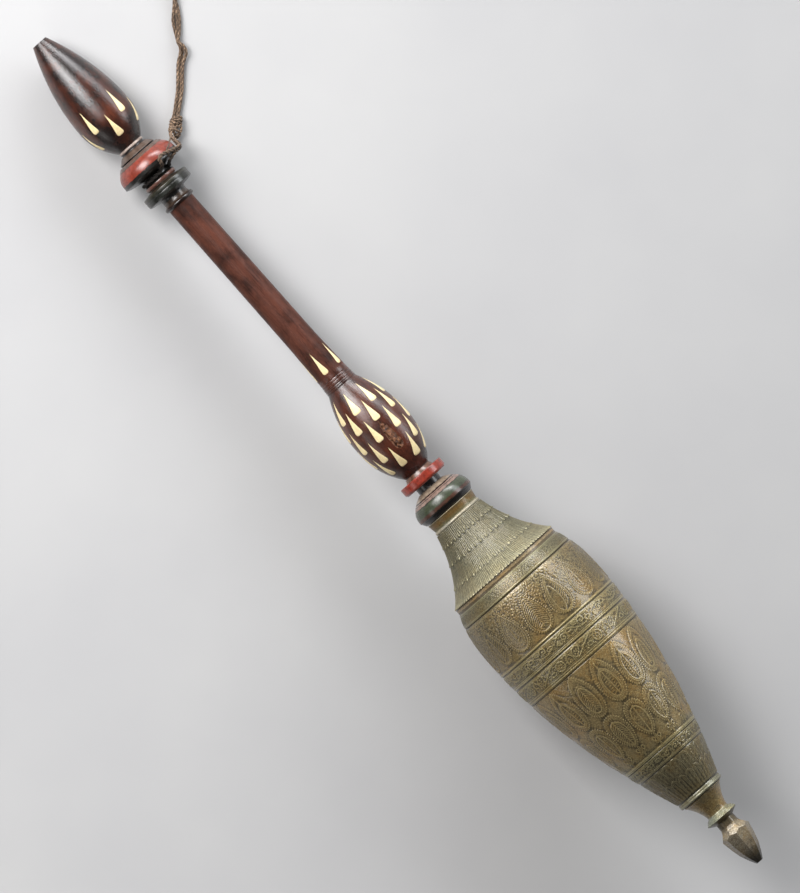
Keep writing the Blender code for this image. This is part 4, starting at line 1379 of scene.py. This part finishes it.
def run_lines(path):
    """The run's strands: side by side at first, crossed at its kink, and slack and apart after it."""
    points, along = evenly(path, 0.9 * MM)
    share = along / along[-1]
    tangents = np.gradient(points, axis=0)
    aside = np.cross(tangents, (0, 0, 1.0))
    aside /= np.linalg.norm(aside, axis=1)[:, None]
    lines = []
    for number, (lay, radius) in enumerate(zip(STRAND_LAYS, RUN_RADII)):
        shares, across, up = np.array(lay).T
        line = points + aside * (np.interp(share, shares, across) * MM)[:, None]
        line[:, 2] = np.maximum(line[:, 2] + np.interp(share, shares, up) * MM, (radius + 0.1) * MM)
        lines += plied(smooth(line[::5], 4), radius * MM, RUN_LAY, 3, number * 1.3)
    return lines


# The knot's strands, by pixels of the photograph: (x, y, height over the floor in millimetres)
KNOT_WRAPS = (
    (171.6, 120.6, 2.6), (171.2, 119.6, 6.0), (174.2, 118.4, 9.0), (178.4, 116.9, 8.6), (181.2, 117.8, 4.8),
    (178.6, 120.0, 1.6), (173.4, 122.0, 1.6), (170.5, 121.8, 5.4), (174.2, 120.9, 9.4), (178.6, 119.6, 9.2),
    (181.4, 120.6, 5.0), (178.4, 122.8, 1.6), (173.0, 124.6, 1.6), (170.0, 124.2, 5.6), (173.8, 123.4, 9.4),
    (178.4, 122.4, 9.4), (181.0, 123.8, 6.6), (179.6, 126.2, 8.4), (176.0, 127.6, 9.8),
    (173.6, 130.2, 10.0), (174.6, 133.6, 9.2), (177.6, 135.4, 7.2),
)
KNOT_LEFT = (
    (174.4, 124.6, 4.4), (171.0, 125.6, 7.2), (169.6, 128.6, 8.8), (169.6, 132.2, 9.4),
    (171.4, 135.6, 10.2), (174.2, 138.6, 14.0),
)
KNOT_RIGHT = (
    (178.2, 124.8, 4.8), (180.8, 127.0, 6.6), (181.2, 130.0, 7.4), (179.2, 133.2, 8.2), (176.2, 135.8, 8.8),
    (174.0, 138.0, 8.2), (173.0, 140.6, 6.2),
)
KNOT_CROSSING = (
    (170.6, 127.0, 9.0), (173.2, 129.0, 11.4), (176.6, 130.4, 11.0), (179.2, 132.8, 8.8),
    (178.8, 136.0, 6.8), (176.4, 138.0, 6.4),
)
END_KNOT = (
    (172.0, -20.0, 2.6), (170.0, -22.6, 5.6), (168.2, -26.4, 4.6), (170.6, -29.4, 1.8), (174.4, -28.4, 3.6),
    (174.4, -24.8, 6.6), (170.6, -23.4, 7.6), (167.4, -25.2, 4.6), (168.8, -28.6, 1.8), (172.8, -27.4, 2.6),
    (171.6, -30.6, 5.0), (169.0, -34.6, 2.2),
)
KNOT_ROUTES = (KNOT_WRAPS, KNOT_LEFT, KNOT_RIGHT, KNOT_CROSSING)


def twine_piece(name, lines, finish, nodes):
    """A piece of twine, whose points are in the world's frame."""
    return add_piece(name, tubes_mesh(name, lines), [finish], nodes, Matrix.Identity(4))


def twine(finish):
    """The loop, the knot and the end knot, and the run between the knots, which is the cord."""
    path = smooth(CORD_ROUTE, 8)
    loop = plied(staff_path(ROPE_ROUTE), *LOOP_STRAND) + plied(staff_path(THIN_ROUTE), *THIN_STRAND)
    knot = [line for route in KNOT_ROUTES for line in plied(seen_path(route), *KNOT_STRAND)]
    end = plied(seen_path(END_KNOT), *KNOT_STRAND)
    loop_piece = twine_piece("twine_loop", loop, finish, ["cord_neck_tie"])
    knot_piece = twine_piece("twine_knot", knot, finish, [])
    end_piece = twine_piece("twine_end_knot", end, finish, [])
    run = twine_piece("twine_run", run_lines(path), finish, ["cord_run"])


# Materials

# The brass's ground colour from the collar to the bud: (place, colour)
BRASS_COLOURS = (
    (496.3, (0.30, 0.27, 0.19)), (497.2, (0.135, 0.088, 0.031)), (500.4, (0.15, 0.085, 0.021)),
    (503.2, (0.13, 0.12, 0.055)), (503.9, (0.36, 0.335, 0.265)), (506.6, (0.33, 0.305, 0.235)),
    (507.4, (0.126, 0.111, 0.064)), (540.0, (0.142, 0.128, 0.074)), (560.6, (0.26, 0.235, 0.145)),
    # From 561.3 the plain band under the lip is painted lighter than its own dark brown, as painted sheen
    (561.3, (0.27, 0.195, 0.10)), (565.8, (0.285, 0.205, 0.105)), (566.5, (0.125, 0.107, 0.055)),
    (576.8, (0.132, 0.108, 0.053)), (579.0, (0.158, 0.120, 0.054)), (612.0, (0.172, 0.121, 0.047)),
    (622.0, (0.195, 0.135, 0.048)), (626.0, (0.20, 0.155, 0.068)), (656.0, (0.195, 0.152, 0.067)),
    (661.0, (0.225, 0.160, 0.066)), (742.0, (0.22, 0.162, 0.070)), (752.5, (0.19, 0.160, 0.080)),
    (762.0, (0.148, 0.121, 0.063)), (795.0, (0.135, 0.110, 0.057)), (797.0, (0.14, 0.13, 0.08)),
    (801.1, (0.12, 0.105, 0.065)), (801.6, (0.24, 0.182, 0.087)), (810.0, (0.235, 0.173, 0.077)),
    # From 820.2 the flange's face towards the wood is pale green, partly its own colour and partly painted
    # light; from 825.4 its far face and the neck behind it are painted dark, as painted shade
    (819.6, (0.22, 0.162, 0.072)), (820.2, (0.27, 0.28, 0.21)), (824.9, (0.25, 0.26, 0.185)),
    (825.4, (0.07, 0.062, 0.035)), (833.0, (0.10, 0.08, 0.048)), (838.0, (0.28, 0.235, 0.165)),
    # From 858.0 the bud darkens to nearly black at its tip, as painted shade where the tip meets the floor
    (858.0, (0.17, 0.14, 0.098)), (864.0, (0.07, 0.058, 0.038)), (868.0, (0.025, 0.022, 0.016)),
    (873.0, (0.018, 0.016, 0.012)),
)

# Where each brass's colours start and end
NECK_BRASS = (COLLAR_START, SKIRT_END)
BAND_BRASS = (SKIRT_END, 578.0)
FRONT_BRASS = (SKIRT_END, 660.0)
BACK_BRASS = (659.0, 801.2)
FOOT_BRASS = (801.2, 873.0)

# How many times paler than the ground the ridges are painted, partly as worn metal and partly as painted
# highlight: on the grey neck, and elsewhere
GREY_RIDGE = (1.65, 1.68, 1.62)
GOLD_RIDGE = (1.8, 1.95, 1.98)


def stops(table, start, end):
    """A ramp's stops for a table of (place, colour)."""
    return [((place - start) / (end - start), colour) for place, colour in table]


def colours_between(table, start, end):
    """The part of a table of (place, colour) between two places, with the colours there worked out."""
    places, colours = [row[0] for row in table], np.array([row[1] for row in table])
    picked = [start, *(place for place in places if start < place < end), end]
    return [(place, tuple(np.interp(place, places, band) for band in colours.T)) for place in picked]


def brass(name, start, end, patina, ridge=GOLD_RIDGE, patina_from=0.58, stain=0.5, roughness=0.42, warmth=1.0,
          gloss=0.66):
    """Old brass: its ground by place, ridges painted pale as worn metal and painted highlight, painted
    glints, crevices painted dark as painted shade, stains and drifts of patina.
    """
    shade = Shade(name, Metallic=0.5, Coat_Weight=gloss, Coat_Roughness=0.2, Coat_IOR=1.6)
    place = shade.span(shade.coordinate("X"), start, end)
    ground = shade.ramp(place, stops(colours_between(BRASS_COLOURS, start, end), start, end))
    crevice = shade.attribute("crevice")
    broad = shade.noise(0.045, 4.0, 0.6)
    fine = shade.noise(0.62, 5.0, 0.72)
    glints = shade.noise(0.85, 5.0, 0.8)
    drift = shade.noise(0.11, 6.0, 0.72, distortion=0.8)
    warm = shade.times(ground, (1.16, 0.97, 0.66))
    dark = shade.times(ground, (0.24, 0.25, 0.25))
    pale = shade.times(ground, ridge)
    colour = shade.tint(ground, warm, broad, 0.46, 0.60, warmth)
    colour = shade.tint(colour, dark, fine, 0.47, 0.62, stain)
    colour = shade.tint(colour, patina, drift, patina_from, patina_from + 0.14, 0.6)
    # Painted glints: pale specks of the ridge colour, scattered by noise
    colour = shade.tint(colour, pale, glints, 0.51, 0.62, 0.7)
    # Painted highlight and shade: ridges are painted paler, partly as worn metal, and crevices are painted
    # darker
    colour = shade.tint(colour, pale, crevice, 0.03, 0.19, 0.62)
    colour = shade.tint(colour, dark, crevice, -0.02, -0.09, 0.85)
    rough = shade.span(drift, 0.3, 0.7, roughness - 0.08, roughness + 0.10)
    rough = shade.math("ADD", rough, shade.span(fine, 0.3, 0.7, -0.08, 0.08), clamp=True)
    rough = shade.math("ADD", rough, shade.span(crevice, 0.0, 0.2, 0.04, -0.08), clamp=True)
    grain = shade.bump(shade.noise(1.5, 6.0, 0.75), 0.22)
    return shade.finish(Base_Color=colour, Roughness=rough, Normal=grain)


# The lacquered rings' colours: (place where a colour starts, colour)
NEAR_COLOURS = (
    (109.5, (0.34, 0.27, 0.23)), (111.9, (0.010, 0.006, 0.005)), (113.6, (0.080, 0.051, 0.036)),
    (118.4, (0.006, 0.004, 0.003)), (119.4, (0.088, 0.051, 0.037)), (122.5, (0.20, 0.031, 0.016)),
    (132.2, (0.007, 0.006, 0.004)), (145.2, (0.14, 0.060, 0.042)), (148.2, (0.22, 0.165, 0.13)),
    (148.9, (0.020, 0.019, 0.011)), (153.2, (0.006, 0.007, 0.004)), (158.8, (0.008, 0.007, 0.005)),
    (163.4, (0.056, 0.034, 0.022)), (167.6, (0.014, 0.006, 0.004)),
)
FAR_COLOURS = (
    (456.7, (0.115, 0.047, 0.024)), (459.8, (0.25, 0.028, 0.013)), (468.0, (0.012, 0.007, 0.006)),
    (473.0, (0.26, 0.20, 0.145)), (477.0, (0.012, 0.008, 0.007)), (477.9, (0.224, 0.148, 0.114)),
    (478.7, (0.06, 0.035, 0.028)), (479.2, (0.207, 0.135, 0.105)), (481.1, (0.020, 0.020, 0.012)),
    (481.9, (0.040, 0.050, 0.026)), (488.6, (0.062, 0.024, 0.013)), (491.3, (0.003, 0.002, 0.002)),
)


def lacquer_material(name, colours, end):
    """Lacquer in turned rings with wavering edges, mottled and worn through in specks to brown wood."""
    shade = Shade(name, Coat_Weight=0.82, Coat_Roughness=0.25, Coat_IOR=1.6, Specular_IOR_Level=0.12)
    start = colours[0][0]
    wander = shade.span(shade.noise(0.3, 5.0), 0.3, 0.7, -0.35, 0.35)
    place = shade.span(shade.math("ADD", shade.coordinate("X"), wander), start, end)
    bands = shade.ramp(place, stops(colours, start, end), "CONSTANT")
    mottle = shade.noise(0.25, 5.0, 0.7)
    turned = shade.noise(1.0, 4.0, 0.7, stretch=(1.6, 0.1, 0.1))
    specks = shade.noise(0.7, 6.0, 0.78)
    dark = shade.times(bands, (0.34, 0.30, 0.30))
    colour = shade.tint(bands, dark, mottle, 0.46, 0.66, 0.75)
    colour = shade.tint(colour, shade.times(bands, (1.5, 1.5, 1.5)), mottle, 0.44, 0.30, 0.6)
    colour = shade.tint(colour, dark, turned, 0.52, 0.70, 0.5)
    colour = shade.tint(colour, (0.17, 0.115, 0.07), specks, 0.66, 0.74, 0.5)
    rough = shade.span(specks, 0.35, 0.7, 0.28, 0.5)
    height = shade.math("ADD", turned, shade.math("MULTIPLY", specks, 0.8))
    return shade.finish(Base_Color=colour, Roughness=rough, Normal=shade.bump(height, 0.2))


# How ruddy the wood is along the handle, from 0, nearly black, to 1, red-brown
RUDDY = (
    (0.0, 0.12), (45.0, 0.2), (62.0, 0.48), (84.0, 0.42), (95.0, 0.16), (110.0, 0.08), (171.0, 0.75),
    (352.0, 0.8), (366.0, 0.35), (385.0, 0.75), (430.0, 0.78), (446.0, 0.25), (457.0, 0.1),
)


def wood_material(name, red, **plain):
    """Dark turned wood with long grain and blotches, redder in some places than in others."""
    shade = Shade(name, **plain)
    end = RUDDY[-1][0]
    place = shade.span(shade.coordinate("X"), 0.0, end)
    ruddy = shade.ramp(place, stops([(spot, (share, share, share)) for spot, share in RUDDY], 0.0, end))
    streaks = shade.noise(1.0, 6.0, 0.7, stretch=(0.06, 1, 1), distortion=0.5)
    blotch = shade.noise(0.06, 5.0, 0.65, stretch=(0.7, 1, 1))
    fine = shade.noise(1.1, 6.0, 0.8, stretch=(0.35, 1, 1))
    share = shade.math("ADD", ruddy, shade.span(blotch, 0.34, 0.66, -0.55, 0.55), clamp=True)
    ground = shade.mix(share, (0.010, 0.005, 0.004), red)
    colour = shade.tint(ground, shade.times(ground, (0.34, 0.34, 0.38)), streaks, 0.50, 0.66, 0.8)
    colour = shade.tint(colour, shade.times(ground, (2.0, 1.8, 1.7)), fine, 0.54, 0.68, 0.75)
    rough = shade.span(fine, 0.35, 0.7, 0.30, 0.46)
    rough = shade.math("ADD", rough, shade.span(streaks, 0.4, 0.7, -0.04, 0.08))
    height = shade.math("ADD", streaks, shade.math("MULTIPLY", fine, 0.7))
    gloss = shade.bump(height, 0.14)
    return shade.finish(Base_Color=colour, Roughness=rough, Normal=shade.bump(height, 0.2), Coat_Normal=gloss)


def raw_wood_material():
    """Torn wood in the pockets."""
    shade = Shade("raw_wood")
    fibres = shade.noise(1.0, 5.0, 0.7, stretch=(0.3, 1, 1))
    colours = ((0.38, (0.012, 0.005, 0.003)), (0.5, (0.11, 0.038, 0.015)), (0.64, (0.26, 0.11, 0.042)))
    colour = shade.ramp(fibres, colours)
    rough = shade.span(fibres, 0.3, 0.7, 0.55, 0.8)
    return shade.finish(Base_Color=colour, Roughness=rough, Normal=shade.bump(fibres, 0.6))


def bone_material():
    """Yellowed bone with fine grain and brown stains."""
    shade = Shade("old_bone", Subsurface_Weight=0.05, Subsurface_Radius=(0.002, 0.0012, 0.0006))
    grain = shade.noise(1.6, 5.0, 0.6, stretch=(0.12, 1, 1))
    colour = shade.tint((0.86, 0.73, 0.43), (0.755, 0.605, 0.315), grain, 0.35, 0.7)
    colour = shade.tint(colour, (0.55, 0.40, 0.19), shade.noise(0.16, 4.0, 0.6), 0.50, 0.70, 0.5)
    rough = shade.span(grain, 0.3, 0.7, 0.3, 0.42)
    return shade.finish(Base_Color=colour, Roughness=rough, Normal=shade.bump(grain, 0.06))


# The stretch of the world's X, in millimetres, over which the twine is painted nearly black, as painted shade
# in the neck's groove near the wood
NECK_SHADE_SPAN = (-298.2, -296.2)


def twine_material():
    """Dry plant fibre: pale fibres over dark ones, along each yarn, with painted shade in the valleys between
    yarns, on the higher twine, and in the neck's groove near the wood.
    """
    shade = Shade("twine", Sheen_Weight=0.1)
    fibres = shade.noise(1.5, 6.0, 0.75, spot=shade.attribute("fibre", "Vector"))
    colours = ((0.41, (0.020, 0.010, 0.005)), (0.5, (0.13, 0.078, 0.044)), (0.59, (0.56, 0.385, 0.25)))
    colour = shade.ramp(fibres, colours)
    # Painted shade: the valleys between yarns, away from each strand's outside, are painted nearly black
    colour = shade.tint(colour, (0.016, 0.009, 0.005), shade.attribute("outward"), 0.75, 0.2, 0.93)
    darker = shade.times(colour, (0.32, 0.27, 0.24))
    colour = shade.tint(colour, darker, shade.noise(0.14, 4.0), 0.45, 0.66, 0.5)
    # Painted shade: twine higher over the floor, on the loop round the neck, is painted darker
    colour = shade.tint(colour, darker, shade.coordinate("Z"), 14.0, 30.0, 0.6)
    # Painted shade: the twine in the neck's groove is painted nearly black
    colour = shade.tint(colour, (0.010, 0.007, 0.005), shade.coordinate("X"), *NECK_SHADE_SPAN, 0.93)
    rough = shade.span(fibres, 0.3, 0.7, 0.75, 0.92)
    return shade.finish(Base_Color=colour, Roughness=rough, Normal=shade.bump(fibres, 0.5))


def floor_material():
    shade = Shade("pale_floor", Roughness=0.9, Specular_IOR_Level=0.05)
    mottle = shade.noise(0.004, 4.0)
    return shade.finish(Base_Color=shade.tint((0.44, 0.44, 0.445), (0.47, 0.47, 0.47), mottle, 0.35, 0.65))


# Floor and lights
FLOOR_HALF = 6.0
FLOOR_DROP = 0.0002
SKY_COLOUR = (0.80, 0.82, 0.85, 1)
SKY_STRENGTH = 0.10

# The lights: name, spot, what it aims at, width and height, power and colour
LIGHTS = (
    ("high_softbox", (-3.27, -1.04, 3.63), (0.0, 0.0, 0.03), (3.6, 3.9), 215, (1.0, 0.985, 0.985)),
    ("near_softbox", (-0.86, -0.15, 0.76), (-0.30, 0.0, 0.03), (0.42, 0.62), 8.0, (1.0, 0.99, 0.985)),
    ("end_card", (-3.1, 2.3, 1.4), (0.0, 0.0, 0.05), (2.6, 1.0), 85, (1.0, 0.98, 0.98)),
    ("side_softbox", (-0.8, 2.8, 1.3), (-0.1, 0.0, 0.05), (5.0, 1.1), 106, (0.94, 0.97, 1.0)),
    ("low_softbox", (0.08, -0.72, 0.46), (0.16, 0.0, 0.05), (0.60, 0.26), 0.85, (1.0, 0.985, 0.96)),
)


def make_floor():
    mesh = bpy.data.meshes.new("floor")
    corners = [(x * FLOOR_HALF, y * FLOOR_HALF, 0) for x, y in ((-1, -1), (1, -1), (1, 1), (-1, 1))]
    mesh.from_pydata(corners, [], [(0, 1, 2, 3)])
    mesh.materials.append(floor_material())
    floor = new_object("floor", mesh)
    floor.location.z = -FLOOR_DROP


def softbox(name, spot, aim, size, power, colour):
    light = bpy.data.lights.new(name, "AREA")
    light.shape = "RECTANGLE"
    light.size, light.size_y = size
    light.energy = power
    light.color = colour
    lamp = new_object(name, light)
    lamp.location = spot
    lamp.rotation_euler = (Vector(aim) - Vector(spot)).to_track_quat("-Z", "Y").to_euler()
    lamp.visible_camera = False


def make_sky():
    world = bpy.data.worlds.new("studio")
    world.use_nodes = True
    world.node_tree.nodes["Background"].inputs["Color"].default_value = SKY_COLOUR
    world.node_tree.nodes["Background"].inputs["Strength"].default_value = SKY_STRENGTH
    bpy.context.scene.world = world
    bpy.context.scene.view_settings.view_transform = "Standard"


def make_handle():
    coat = {"Coat_Weight": 0.85, "Coat_Roughness": 0.18, "Coat_IOR": 1.6}
    bulbs = wood_material("polished_wood", (0.082, 0.021, 0.010), **coat, Specular_IOR_Level=0.08)
    near = lacquer_material("near_lacquer", NEAR_COLOURS, SHAFT_WOOD_START)
    shaft = wood_material("worn_wood", (0.088, 0.030, 0.019), Specular_IOR_Level=0.13)
    far = lacquer_material("far_lacquer", FAR_COLOURS, FAR_LACQUER_END)
    wooden_handle([bulbs, near, shaft, far], raw_wood_material(), bone_material())


def make_head():
    neck = {"ridge": GREY_RIDGE, "roughness": 0.46, "warmth": 0.4, "gloss": 0.3}
    neck_cap(brass("pale_brass", *NECK_BRASS, (0.26, 0.27, 0.20), **neck))
    band = brass("old_brass_band", *BAND_BRASS, (0.16, 0.16, 0.088), gloss=0.38)
    front = brass("old_brass_front", *FRONT_BRASS, (0.16, 0.16, 0.088))
    back = brass("old_brass_back", *BACK_BRASS, (0.125, 0.128, 0.070))
    body_stretch("stippled_band", stippled_band, band)
    body_stretch("leaf_band", leaf_band, front)
    body_stretch("scroll_bands", scroll_bands, front)
    body_stretch("leaf_rows", leaf_rows, back)
    body_stretch("arches", arches, back)
    worn = {"patina_from": 0.50, "stain": 0.55, "roughness": 0.36}
    foot(brass("dark_brass", *FOOT_BRASS, (0.045, 0.036, 0.024), **worn))


def main():
    twine(twine_material())
    make_handle()
    make_head()
    make_floor()
    for light in LIGHTS:
        softbox(*light)
    make_sky()


main()
